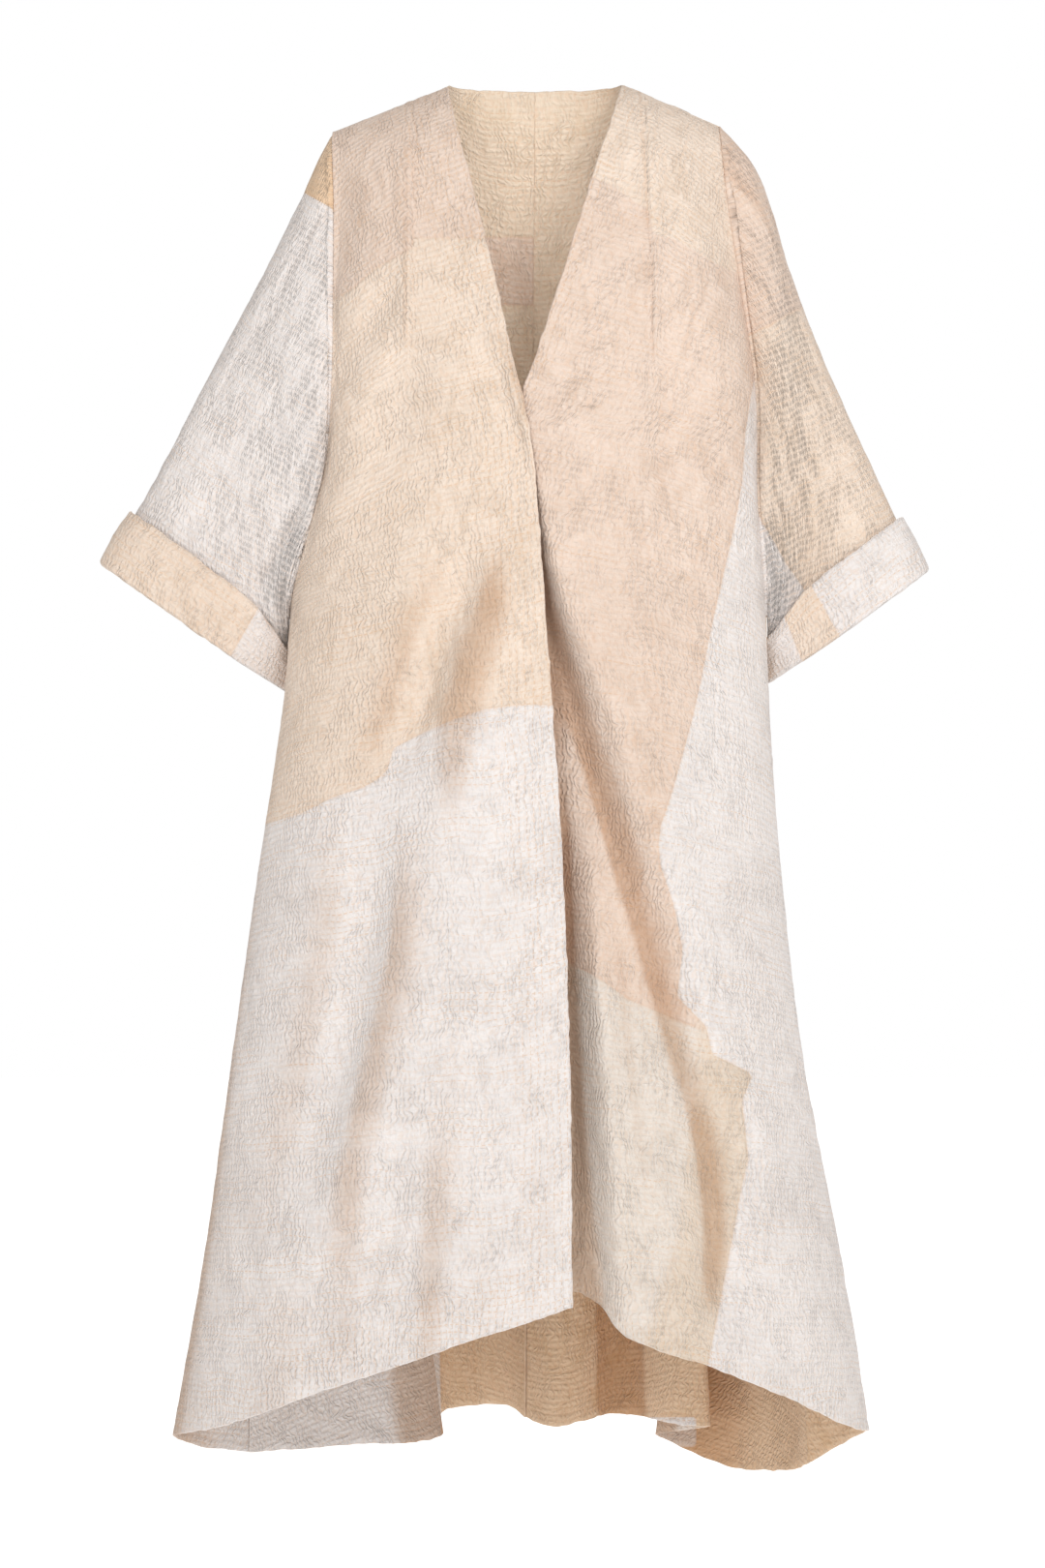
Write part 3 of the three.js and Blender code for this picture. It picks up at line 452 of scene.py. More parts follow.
backFolds = {
    "left": [
        (-9, 32, [(-150, -150), (-140, -300), (-120, -460)]),
        (8, 34, [(-85, -180), (-75, -380), (-60, -620)]),
        (-12, 40, [(-185, -480), (-150, -640), (-105, -820), (-90, -980)]),
        (7, 24, [(-172, -130), (-170, -260), (-182, -400)]),
    ],
    "right": [
        (-8, 32, [(155, -150), (148, -290), (125, -440)]),
        (9, 36, [(70, -220), (85, -420), (80, -640)]),
        (-10, 38, [(190, -490), (174, -600), (152, -720), (132, -830)]),
        (7, 24, [(170, -130), (188, -260), (200, -400)]),
    ],
}


def underFront(x, z, turn):
    # the right front's folds, less how far it lies behind the left one
    inside = smooth((byHeight(dropLine, "x", z) - x) / byHeight(dropLine, "width", z) + 0.5)
    return allFolds(frontFolds["right"], x, z) * turn - byHeight(dropLine, "depth", z) * inside


def frontPoint(side, share, row):
    # share 0 is the opening edge and share 1 the armhole and side seam
    sign = -1 if side == "left" else 1
    seam, tuckShare = shoulders[side], body["tuckShare"]
    inTuck = share < tuckShare
    beyondTuck = (share - tuckShare) / (1 - tuckShare)
    along = np.where(
        inTuck, share / tuckShare * seam["tuckShare"], mix(seam["tuckShare"], 1, beyondTuck))
    hem = hemPoint(frontHem[side], share)
    z, turnOver, turn = rowHeight(row, mix(seam["neckZ"], seam["pointZ"], along), hem[..., 2])

    def ringAngle(s, height):
        edge = angleOfX(byHeight(openingEdges, side, height), height)
        end = sign * byHeight(sideAngles, side, height)
        even = mix(edge, end, tuckShare)
        pleat = angleOfX(byHeight(tuckLines, side, np.maximum(height, body["underarm"])), height)
        tuckAngle = mix(pleat, even, smooth((tuck["leaves"] - height) / tuck["leavesOver"]))
        outer = mix(tuckAngle, end, (s - tuckShare) / (1 - tuckShare))
        return np.where(s < tuckShare, mix(edge, tuckAngle, s / tuckShare), outer)

    ring = lambda s, height: ringPoint(ringAngle(s, height), height)
    seamTurn = shoulderTurn(side, along, lambda height: ringAngle(share, height)) * (1 - turn)
    point = ringPoint(ringAngle(share, z) + seamTurn, z, turnOver)
    point = towardsHem(point, ring, hem, share, z)
    point = sinkAtArmhole(point, ring, z, turnOver, turn * turn)

    x = point[..., 0]
    if side == "right":
        out = underFront(x, z, turn)
    else:  # the upper front rests on the under one
        out = allFolds(frontFolds["left"], x, z) * turn
        rest = underFront(x, z, turn) + underlap["clear"]
        lift = 0.5 * (rest - out + np.hypot(rest - out, underlap["softness"]))
        out = out + lift * smooth((x + 80) / 45) * smooth((-150 - z) / 150)
    beyond = (share - tuckShare) * tuck["acrossFront"]
    held = smooth((z - tuck["end"] + tuck["fade"]) / tuck["fade"]) * turn
    step = np.where(beyond >= -1e-6, np.exp(-((beyond / tuck["reach"]) ** 2)), 0)
    return pushOut(point, (out + tuck["rise"] * step * held) * smooth((1 - share) / sideFade))


def backPoint(side, share, row):
    # share 0 is the middle back seam and share 1 the armhole and side seam
    sign = -1 if side == "left" else 1
    seam, neckShare = shoulders[side], body["neckShare"]
    inNeck = np.clip(share / neckShare, 0, 1)
    along = np.clip((share - neckShare) / (1 - neckShare), 0, 1)
    hem = hemPoint(backHem[side], share)
    middleZ = (shoulders["left"]["neckZ"] + shoulders["right"]["neckZ"]) / 2 + body["backNeckRise"]
    neckTop = mix(middleZ + 1.5 * inNeck, seam["neckZ"], inNeck**8)
    upright = 1 - smooth(inNeck)
    z, turnOver, turn = rowHeight(row, mix(neckTop, seam["pointZ"], along), hem[..., 2], upright)

    def ringAngle(s, height):
        middleX = mix(middleBack["top"], middleBack["hem"], np.clip(-height / 1290, 0, 1))
        middle = angleOfX(middleX, height)
        neckX = byHeight(openingEdges, side, seam["neckZ"])
        neckAngle = angleOfX(neckX * (1 + 0.12 * np.clip(-height / 200, 0, 1)), height)
        sideAngle = byHeight(sideAngles, side, height)
        end = sign * np.where(height > body["underarm"], sideAngle, 180 - sideAngle)
        knee = mix(neckAngle, mix(middle, end, neckShare), smooth((-120 - height) / 320))
        outer = mix(knee, end, (s - neckShare) / (1 - neckShare))
        return np.where(s < neckShare, mix(middle, knee, s / neckShare), outer)

    onBack = lambda angle: np.where(angle < 0, -180 - angle, 180 - angle)
    ring = lambda s, height: ringPoint(onBack(ringAngle(s, height)), height)
    seamTurn = shoulderTurn(side, along, lambda height: ringAngle(share, height))
    point = ringPoint(onBack(ringAngle(share, z) + seamTurn * (1 - turn) * (1 - upright)), z)
    topY = body["backNeckDepth"] * (1 - inNeck**2.4)
    point[..., 1] = mix(topY, point[..., 1], mix(turnOver, turn, upright))
    point = towardsHem(point, ring, hem, share, z)
    point = sinkAtArmhole(point, ring, z, turnOver, turn * turn)
    seamFade = smooth((1 - share) / sideFade) * smooth(share / sideFade)
    return pushOut(point, allFolds(backFolds[side], point[..., 0], z) * turn * seamFade)


# sleeves and cuffs

sleeveEnds = {
    "left": {"outer": (-401, 6, -450), "inner": (-228, 62, -574), "halfDepth": 47, "backDrop": 3},
    "right": {"outer": (372, 6, -455), "inner": (230, 50, -560), "halfDepth": 47, "backDrop": 0},
}
sleeveTops = {  # how far the line along the top stands above a straight one
    "along": [0, 0.06, 0.12, 0.2, 0.3, 0.4, 0.55, 0.8, 1],
    "left": [0, 0, -2, -3, -4, -3.6, -2.8, -2.6, 0],
    "right": [0, 9.5, 14.5, 12.5, 5, 0.5, -2.8, -3.2, -2],
}
sleeveFolds = [  # degrees round from the top, front first; depth; width; first and last share
    (105, -7, 20, 0.1, 0.85),
    (130, 4, 18, 0.3, 0.85),
    (60, -3, 26, 0.2, 0.8),
    (240, -5, 24, 0.25, 0.85),
    (290, -4, 26, 0.2, 0.9),
]
sleeve = {"twist": 0.74, "twistPower": 5, "sideways": 46, "below": 0.15, "back": 4, "down": 26}
sleeveClear = {"side": 3.8, "underarm": 3.6}
cuff = {"height": 52, "standOff": 8.5}


def ringDegrees(ring, half):
    # degrees round the sleeve by each point's share of the armhole's length
    steps = np.linalg.norm(np.roll(ring, -1, axis=0) - ring, axis=1)
    lengths = np.concatenate([[0], np.cumsum(steps)])
    front = lengths[:-1] / lengths[half]
    back = (lengths[-1] - lengths[:-1]) / (lengths[-1] - lengths[half])
    turn = lambda s: 180 * mix(np.clip(s, 0, 1) ** sleeve["twistPower"], s, sleeve["twist"])
    return np.where(np.arange(len(ring)) <= half, turn(front), 360 - turn(back))


def sleeveEnd(side, angle):
    # a tilted oval, with the way out of it
    end = sleeveEnds[side]
    outer, inner = np.array(end["outer"], float), np.array(end["inner"], float)
    middle, half = (outer + inner) / 2, (inner - outer) / 2
    depth = np.array([0, -end["halfDepth"], end["backDrop"] / 2])
    c, s = -np.cos(np.radians(angle))[:, None], np.sin(np.radians(angle))[:, None]
    out = half * c * end["halfDepth"] + depth * s * np.linalg.norm(half)
    return middle + half * c + depth * s, unit(out)


def besideBody(point, side, t, low):
    # keeps a sleeve point clear of the front or back panel that it hangs against
    x, y, z = np.abs(point[..., 0]), point[..., 1], point[..., 2]
    end = np.where(z > body["underarm"], byHeight(sideAngles, side, z), 90.0)
    edge = np.abs(ringPoint(end, z))
    toEdge = np.hypot(x - edge[..., 0], np.abs(y) - edge[..., 1])
    width, depth = byHeight(bodyRings, side, z), ringDepth(y < 0, z)
    across, along = x / width, (np.abs(y) + armholeCrease(toEdge, z)) / depth
    angle = np.degrees(np.arctan2(across, along))
    overPanel = np.where(z > body["underarm"], smooth((end + 4 - angle) / 3), 1.0)
    radius = np.hypot(across, along)
    clear = mix(sleeveClear["side"], sleeveClear["underarm"], low * smooth((0.4 - t) / 0.3))
    scale = 1 + np.maximum(0, 1 + clear / width - radius) * overPanel / radius * (t > 0)
    moved = point.copy()
    moved[..., :2] *= scale[..., None]
    return moved


def sleeveGrid(side, ring, half, steps):
    # each column is a quadratic Bezier from the armhole to the oval end, with soft folds on it
    angle = ringDegrees(ring, half)
    end, out = sleeveEnd(side, angle)
    low = smooth((np.minimum(angle, 360 - angle) - 80) / 60)
    towardsFace = np.minimum(1, 1.2 * np.abs(np.sin(np.radians(angle))))
    knee = ring.copy()
    knee[:, 0] += np.sign(ring[:, 0]) * sleeve["sideways"] * mix(sleeve["below"], 1, towardsFace)
    knee[:, 1] += sleeve["back"] * (1 - towardsFace)
    knee[:, 2] -= sleeve["down"]
    knee = mix(mix(ring, end, 0.5), knee, low[:, None])
    t = (steps**1.15)[None, :]
    a, b, c = ((1 - t) ** 2)[..., None], (2 * t * (1 - t))[..., None], (t**2)[..., None]
    point = ring[:, None] * a + knee[:, None] * b + end[:, None] * c
    sine, cosine = np.sin(np.radians(angle))[:, None], np.cos(np.radians(angle))[:, None]
    bulge = armholeCrease(0, ring[:, 2])[:, None] * np.abs(sine) * (1 - t)
    bulge = bulge * (1 - np.exp(-(t * 320) / armholeSink["reach"]))
    rise = curveThrough(sleeveTops["along"], sleeveTops[side], t)
    bulge = bulge + np.maximum(0, cosine) ** 2 * rise
    for at, depth, width, first, last in sleeveFolds:
        bell = np.exp(-(((angle[:, None] - at) / width) ** 2))
        bulge = bulge + depth * bell * smooth((t - first) / 0.2) * smooth((last - t) / 0.25)
    return besideBody(point + out[:, None] * bulge[..., None], side, t, low[:, None]), angle


def cuffGrid(side, columns, angle):
    # down past the sleeve's end, round and up again outside it, following each of its columns
    height, off = cuff["height"], cuff["standOff"]
    outward = [0, 1.4, 4.2, 7.2, off, off + 0.6, off, off - 2.2]
    upward = [0, -3.4, -4.6, -3.2, 0, 0.3 * height, 0.65 * height, height]
    place = np.concatenate([np.linspace(0, 4, 17)[:-1], np.linspace(4, 7, 22)])
    outward = curveThrough(np.arange(8), outward, place)
    upward = curveThrough(np.arange(8), upward, place)
    reverse = columns[:, ::-1]
    gone = np.cumsum(np.linalg.norm(np.diff(reverse, axis=1), axis=2), axis=1)
    gone = np.concatenate([np.zeros((len(gone), 1)), gone], 1)
    _, out = sleeveEnd(side, angle)
    up = unit(reverse[:, 8] - reverse[:, 0])
    out = unit(out - up * (out * up).sum(1, keepdims=True))
    rows, each = [], np.arange(len(reverse))
    for o, u in zip(outward, upward):
        if u > 0:
            k = np.clip((gone < u).sum(1) - 1, 0, gone.shape[1] - 2)
            here = reverse[each, k]
            way = unit(reverse[each, k + 1] - here)
            point = here + way * (u - gone[each, k])[:, None] + out * o
            rows.append(besideBody(point, side, 1.0, 0.0))
        else:
            rows.append(reverse[:, 0] + up * u + out * o)
    return np.stack(rows, 1)


# quilting and cloth

quilting = {
    "height": 1.0,  # of the wrinkles between the rows of stitches
    "apart": 6.2,  # half of the distance from one wrinkle to the next
    "long": 13,
    "seamDip": 0.9,
    "edgeWaver": 0.9,
    "thickness": 1.7,
    "edgeThickness": 2.5,
    "seamFade": 7,  # wrinkles rise from a seam over this
    "underarmFade": 9,
    "seamWidth": 3.2,
    "waverWidth": 6,
    "waverClearOfSeam": 12,
    "edgeWidth": 5,
    "hollowReach": 16,
    # how much shade is painted on the long fold's slope
    "slopePaintedShade": 5,
}
farAway = 1e3


def clothLengths(grid):
    # lengths over the cloth from the first column and from the first row
    across = np.linalg.norm(np.diff(grid, axis=0), axis=2)
    down = np.linalg.norm(np.diff(grid, axis=1), axis=2)
    u = np.concatenate([np.zeros((1, grid.shape[1])), np.cumsum(across, 0)], 0)
    v = np.concatenate([np.zeros((grid.shape[0], 1)), np.cumsum(down, 1)], 1)
    return u, v


def quiltWrinkles(u, v, seed):
    # wrinkles down the cloth that wander and come and go, and fewer that run across
    wander = 7 * patchyNoise(u, v, 55, 40, seed)
    down = patchyNoise(u + wander, v, quilting["apart"], quilting["long"], seed + 1)
    down = down + 0.6 * patchyNoise(u + 2 * wander, v, 10, 24, seed + 2)
    across = patchyNoise(u, v + wander, 15, 7.5, seed + 3)
    which = smooth(0.62 + 0.9 * patchyNoise(u, v, 75, 60, seed + 4))
    strength = 0.55 + 0.45 * patchyNoise(u, v, 48, 52, seed + 5)
    return quilting["height"] * (mix(0.8 * across, down, which) * strength)


def gridNormals(grid, closed):
    # across the neighbours on both sides and down the neighbours above and below
    if closed:
        across = np.roll(grid, -1, 0) - np.roll(grid, 1, 0)
    else:
        padded = np.concatenate([grid[:1], grid, grid[-1:]], 0)
        across = padded[2:] - padded[:-2]
    padded = np.concatenate([grid[:, :1], grid, grid[:, -1:]], 1)
    return unit(np.cross(padded[:, 2:] - padded[:, :-2], across))


def foldHollow(grid, normals, closed):
    # how far the cloth lies below the middle of its neighbours on both sides, in mm
    step = np.linalg.norm(np.diff(grid, axis=0), axis=2).mean()
    reach = max(1, round(quilting["hollowReach"] / step))
    index = np.arange(len(grid))
    before, after = index - reach, index + reach
    if closed:
        after = after % len(grid)
    else:
        before, after = np.maximum(before, 0), np.minimum(after, len(grid) - 1)
    return (((grid[before] + grid[after]) / 2 - grid) * normals).sum(-1)


def stepFoldSlope(grid):
    # 0 to 1 on the slope of the right front's long fold, by how deep the fold is there; shade is
    # painted on this slope
    x, z = grid[..., 0], grid[..., 2]
    across = (x - byHeight(dropLine, "x", z)) / byHeight(dropLine, "width", z)
    return byHeight(dropLine, "depth", z) / max(dropLine["depth"]) * np.exp(-((across / 0.55) ** 2))


def seenFromFront(points):
    # x and z where the camera's line through the point meets the plane through the shoulders
    away, x0, z0 = view["away"] * 1000, view["x"] * 1000, view["height"] * 1000
    shrink = away / (away + points[..., 1])
    return x0 + (points[..., 0] - x0) * shrink, z0 + (points[..., 2] - z0) * shrink


def besideLine(points, line, runsOn):
    # distance to a line on the front view, positive to the left of the way it is walked
    x, z = seenFromFront(points)
    line = np.array(line, float)
    if runsOn and np.any(line[0] != line[-1]):
        first, last = line[0] - line[1], line[-1] - line[-2]
        line[0] += first / np.hypot(*first) * 400
        line[-1] += last / np.hypot(*last) * 400
    nearest, signed = np.full(x.shape, np.inf), np.zeros(x.shape)
    for start, end in zip(line[:-1], line[1:]):
        _, distance = segmentShare(x, z, start, end)
        turn = (end[0] - start[0]) * (z - start[1]) - (end[1] - start[1]) * (x - start[0])
        closer = distance < nearest
        nearest = np.where(closer, distance, nearest)
        signed = np.where(closer, np.sign(turn) * distance, signed)
    return signed


def clothMesh(name, grid, uv, thickness, masks, closed):
    # two walls half a thickness to each side of the grid, joined round a soft edge
    columns, rows = grid.shape[:2]
    normals = gridNormals(grid, closed)
    half = (thickness / 2)[..., None]
    i, j = np.meshgrid(np.arange(columns), np.arange(rows), indexing="ij")
    index = i * rows + j
    spans = columns if closed else columns - 1
    left, above = i[:spans, :-1].ravel(), j[:spans, :-1].ravel()
    right, below = (left + 1) % columns, above + 1
    outer = [index[left, above], index[left, below], index[right, below], index[right, above]]
    outer = np.stack(outer, 1)
    inner = outer[:, [0, 3, 2, 1]] + columns * rows
    uvRight = np.roll(uv, -1, 0)
    if closed:  # the two halves count their lengths from the top and meet at the underarm seam
        total = (uv[..., 0].max(0) - uv[..., 0].min(0))[None]
        uvRight[..., 0] -= np.round((uvRight - uv)[..., 0] / total) * total
    corners = [uv[left, above], uv[left, below], uvRight[left, below], uvRight[left, above]]
    outerUv = np.stack(corners, 1)
    innerUv = outerUv[:, [0, 3, 2, 1]]

    if closed:
        loops = [index[:, -1], index[::-1, 0]]
    else:
        border = [index[0, :-1], index[:-1, -1], index[-1, :0:-1], index[:0:-1, 0]]
        loops = [np.concatenate(border)]
    flat = grid.reshape(-1, 3)
    inward = np.zeros_like(grid)
    inward[:, 0] += unit(grid[:, 1] - grid[:, 0])
    inward[:, -1] += unit(grid[:, -2] - grid[:, -1])
    if not closed:
        inward[0] += unit(grid[1] - grid[0])
        inward[-1] += unit(grid[-2] - grid[-1])
    rim = (grid - unit(inward) * half * 0.7).reshape(-1, 3)
    vertices = [(grid + normals * half).reshape(-1, 3), (grid - normals * half).reshape(-1, 3)]
    faces, faceUv, source = [outer, inner], [outerUv, innerUv], [np.arange(len(flat))] * 2
    start = 2 * len(flat)
    flatUv = uv.reshape(-1, 2)
    for loop in loops:
        following = np.roll(loop, -1)
        mid = start + np.arange(len(loop))
        midNext = np.roll(mid, -1)
        vertices.append(rim[loop])
        source.append(loop)
        faces.append(np.stack([following, loop, mid, midNext], 1))
        faces.append(np.stack([midNext, mid, loop + len(flat), following + len(flat)], 1))
        ends = np.stack([flatUv[loop]] * 4, 1)
        faceUv += [ends, ends]
        start += len(loop)
    vertices, faces = np.concatenate(vertices) / 1000, np.concatenate(faces)
    faceUv, source = np.concatenate(faceUv), np.concatenate(source)

    mesh = bpy.data.meshes.new(name)
    mesh.vertices.add(len(vertices))
    mesh.vertices.foreach_set("co", vertices.astype(np.float32).ravel())
    mesh.loops.add(faces.size)
    mesh.loops.foreach_set("vertex_index", faces.astype(np.int32).ravel())
    mesh.polygons.add(len(faces))
    mesh.polygons.foreach_set("loop_start", np.arange(0, faces.size, 4, dtype=np.int32))
    mesh.polygons.foreach_set("use_smooth", np.ones(len(faces), bool))
    mesh.update(calc_edges=True)
    layer = mesh.uv_layers.new(name="clothMm")
    layer.data.foreach_set("uv", faceUv.astype(np.float32).ravel())
    masks = {label: values.reshape(-1)[source] for label, values in masks.items()}
    masks["inside"] = np.zeros(len(vertices))
    masks["inside"][len(flat):2 * len(flat)] = 1
    for label, values in masks.items():
        held = mesh.attributes.new(label, "FLOAT", "POINT")
        held.data.foreach_set("value", values.astype(np.float32))
    mesh.validate()
    made = bpy.data.objects.new(name, mesh)
    bpy.context.scene.collection.objects.link(made)
    return made


def quiltedPiece(
    name, grid, u, v, seed, seams, patches,
    joined=(), openTop=None, closed=False, flip=False, downward=None, slope=0.0,
):
    # wrinkles on the grid, shallow at seams; free edges thicker and slightly wavy
    far = np.full(u.shape, farAway)
    toSeam, toEdge, toJoin = far.copy(), far.copy(), far.copy()
    steps = {
        "first": u - u[:1], "last": u[-1:] - u, "top": v - v[:, :1], "bottom": v[:, -1:] - v}
    if closed:
        steps["first"], steps["last"] = far, far
    for edge, distance in steps.items():
        if edge in joined:
            toJoin = np.minimum(toJoin, distance)
        elif edge in seams:
            free = openTop if edge == "top" and openTop is not None else np.zeros(len(u), bool)
            toSeam = np.minimum(toSeam, np.where(free[:, None], farAway, distance))
            toEdge = np.minimum(toEdge, np.where(free[:, None], distance, farAway))
        else:
            toEdge = np.minimum(toEdge, distance)
    downward = v if downward is None else downward
    wrinkles = quiltWrinkles(u, downward, seed)
    wrinkles = wrinkles * smooth(np.minimum(toSeam, toJoin) / quilting["seamFade"])
    if closed:
        toUnderarm = np.abs(u).max(0, keepdims=True) - np.abs(u)
        wrinkles = wrinkles * smooth(toUnderarm / quilting["underarmFade"])
    normals = gridNormals(grid, closed)
    out = wrinkles - quilting["seamDip"] * np.exp(-((toSeam / quilting["seamWidth"]) ** 2))
    waver = patchyNoise(u + downward, downward - u, 11, 11, seed + 9)
    waver = waver * np.exp(-((toEdge / quilting["waverWidth"]) ** 2))
    waver = waver * smooth(toSeam / quilting["waverClearOfSeam"])
    nearSide = (np.minimum(steps["first"], steps["last"]) <= toEdge + 1e-6)[..., None]
    way = unit(np.where(nearSide, np.gradient(grid, axis=0), np.gradient(grid, axis=1)))
    # how much shade is painted in: the depth of the fold's hollow in mm, plus more on the long
    # fold's slope
    deep = foldHollow(grid, normals, closed) + quilting["slopePaintedShade"] * slope
    grid = grid + normals * out[..., None] + way * (waver * quilting["edgeWaver"])[..., None]
    nearEdge = np.exp(-((toEdge / quilting["edgeWidth"]) ** 2))
    thick = mix(quilting["thickness"], quilting["edgeThickness"], nearEdge)
    masks = {"wrinkle": wrinkles / quilting["height"], "toEdge": toEdge, "fold": deep}
    for label, (line, patch, _) in patches.items():
        masks[label] = besideLine(grid, line, patch is not None)
    uv = np.stack([u, downward], -1)
    if flip:
        grid, uv, thick = grid[::-1], uv[::-1], thick[::-1]
        masks = {label: values[::-1] for label, values in masks.items()}
    return clothMesh(name, np.ascontiguousarray(grid), uv, thick, masks, closed)


# finishes


def fromHex(text):
    # sRGB written as six hex digits, to the linear values that the shader takes
    values = np.array([int(text[k:k + 2], 16) for k in (0, 2, 4)]) / 255
    linear = np.where(values <= 0.04045, values / 12.92, ((values + 0.055) / 1.055) ** 2.4)
    return (*linear, 1.0)


cottonColours = {
    "white": fromHex("F1ECEA"),
    "cream": fromHex("F1E1D2"),
    "pink": fromHex("ECD9CB"),
    "pale": fromHex("EBE2D9"),
    "sand": fromHex("E8DACB"),
    "straw": fromHex("F1E1CE"),
    "tan": fromHex("ECD0B2"),
    "thread": fromHex("D9AC78"),
    # painted shade, multiplied in where the ripples lie low
    "paintedValleyShade": fromHex("EBCDAF"),  # this one, the next and the tan in grooves are multiplied in
    # painted shade in fold hollows and on the long fold's slope
    "fold": fromHex("DCC6B2"),
}


def startGroup(name, inputs, outputs):
    tree = bpy.data.node_groups.new(name, "ShaderNodeTree")
    for label, kind, value in inputs:
        socket = tree.interface.new_socket(label, in_out="INPUT", socket_type=kind)
        if value is not None:
            socket.default_value = value
    for label, kind in outputs:
        tree.interface.new_socket(label, in_out="OUTPUT", socket_type=kind)
    return tree, tree.nodes.new("NodeGroupInput").outputs, tree.nodes.new("NodeGroupOutput").inputs


number, colour = "NodeSocketFloat", "NodeSocketColor"
gatherApart = 4.7


def runningStitches():
    # rows of dashes: a row where down / spacing is whole, a dash for part of each pitch along it
    tree, given, out = startGroup(
        "running stitches",
        [("Along", number, 0.0), ("Down", number, 0.0), ("Row spacing", number, 6.0),
         ("Pitch", number, 5.5), ("Dash share", number, 0.6), ("Thread width", number, 0.8),
         ("Shown", number, 0.5), ("Seed", number, 0.0)],
        [("Thread", number), ("Pinch", number)],
    )
    link = tree.links.new
    bend = noise(tree, vector(tree, given["Along"], given["Down"], given["Seed"]), 0.03, 1.0)
    down = timesPlus(tree, bend, 9.0, given["Down"])
    rows = calc(tree, "DIVIDE", down, given["Row spacing"])
    row = calc(tree, "ROUND", rows)
    offRow = times(tree, minus(tree, rows, row), given["Row spacing"])
    offRow = calc(tree, "ABSOLUTE", offRow)
    shift = addNode(
        tree, "ShaderNodeTexWhiteNoise", {"W": row}, noise_dimensions="1D").outputs["Value"]
    along = calc(tree, "ADD", calc(tree, "DIVIDE", given["Along"], given["Pitch"]), shift)
    inDash = calc(tree, "ABSOLUTE", minus(tree, calc(tree, "FRACT", along), 0.5))
    halfDash = times(tree, given["Dash share"], 0.5)
    dash = ramp(tree, minus(tree, halfDash, inDash), -0.05, 0.08)
    halfThread = times(tree, given["Thread width"], 0.5)
    thick = ramp(tree, minus(tree, halfThread, offRow), -0.25, 0.2)
    place = vector(tree, times(tree, given["Along"], 0.3), given["Down"], given["Seed"])
    cluster = noise(tree, place, 0.05, 2.0)
    cluster = ramp(tree, minus(tree, cluster, given["Shown"]), -0.06, 0.12)
    thread = times(tree, times(tree, dash, thick), cluster)
    link(thread, out["Thread"])
    link(ramp(tree, offRow, 0.3, 2.4, 1.0, 0.0), out["Pinch"])
    return tree


def crinkledCotton():
    # short ripples that wander, full between the rows of stitches and flat on them
    tree, given, out = startGroup(
        "crinkled cotton",
        [("Along", number, 0.0), ("Down", number, 0.0), ("Pinch", number, 0.0),
         ("Seed", number, 0.0)],
        [("Height", number), ("Valley", number), ("Weave", number), ("Mottle", number)],
    )
    link = tree.links.new
    where = vector(tree, given["Along"], given["Down"], given["Seed"])
    drift = times(tree, noise(tree, where, 0.05, 1.0), 16.0)
    along = calc(tree, "ADD", given["Along"], drift)
    down = calc(tree, "ADD", given["Down"], drift)
    shortDown = times(tree, given["Down"], 0.5)
    shortAlong = times(tree, given["Along"], 0.5)
    upright = noise(tree, vector(tree, along, shortDown, given["Seed"]), 0.3, 1.0, 0.5)
    level = noise(tree, vector(tree, shortAlong, down, given["Seed"]), 0.3, 1.0, 0.5)
    which = ramp(tree, noise(tree, where, 0.018, 1.0), 0.5, 0.62)
    loose = blendNumber(tree, which, upright, level)
    swerve = timesPlus(tree, noise(tree, where, 0.16, 1.0), 9.0, along)
    turns = times(tree, swerve, 2 * math.pi / gatherApart)
    gathers = timesPlus(tree, calc(tree, "SINE", turns), 0.2, 0.5)
    uneven = ramp(tree, noise(tree, where, 0.03, 1.0), 0.35, 0.6, 0.25, 0.85)
    ripple = blendNumber(tree, uneven, loose, gathers)
    puff = timesPlus(tree, given["Pinch"], -0.9, 1.5)
    height = timesPlus(tree, minus(tree, ripple, 0.5), puff, 0.5)
    height = timesPlus(tree, given["Pinch"], -0.16, height)
    link(height, out["Height"])
    # Valley marks where the ripples lie low, for painted shade there
    link(ramp(tree, height, 0.22, 0.5, 1.0, 0.0), out["Valley"])
    fine = [times(tree, given[way], 1.9) for way in ("Along", "Down")]
    drawn = [times(tree, given[way], 0.12) for way in ("Along", "Down")]
    warp = noise(tree, vector(tree, fine[0], drawn[1]), 1.0, 1.0)
    weft = noise(tree, vector(tree, drawn[0], fine[1]), 1.0, 1.0)
    link(times(tree, calc(tree, "ADD", warp, weft), 0.5), out["Weave"])
    link(noise(tree, where, 0.011, 3.0), out["Mottle"])
    return tree


def patchEdge():
    # the second colour where the distance is positive, with a narrow groove along the join
    tree, given, out = startGroup(
        "patch edge",
        [("Under", colour, None), ("Patch", colour, None), ("Distance", number, 0.0),
         ("Softness", number, 0.5), ("Depth", number, 1.0), ("Groove", number, 0.0)],
        [("Colour", colour), ("Groove", number)],
    )
    share = addNode(tree, "ShaderNodeMapRange", {
        "Value": given["Distance"], "From Min": times(tree, given["Softness"], -1.0),
        "From Max": given["Softness"]})
    laid = blendColour(tree, share.outputs[0], given["Under"], given["Patch"])
    tree.links.new(laid, out["Colour"])
    groove = ramp(tree, calc(tree, "ABSOLUTE", given["Distance"]), 0.4, 2.6, 1.0, 0.0)
    groove = times(tree, groove, given["Depth"])
    uncovered = times(tree, given["Groove"], minus(tree, 1.0, share.outputs[0]))
    tree.links.new(calc(tree, "MAXIMUM", groove, uncovered), out["Groove"])
    return tree


groups = {
    "stitches": runningStitches(),
    "crinkle": crinkledCotton(),
    "patch": patchEdge(),
}
topstitchInset = 11.0
print("shader groups ready")


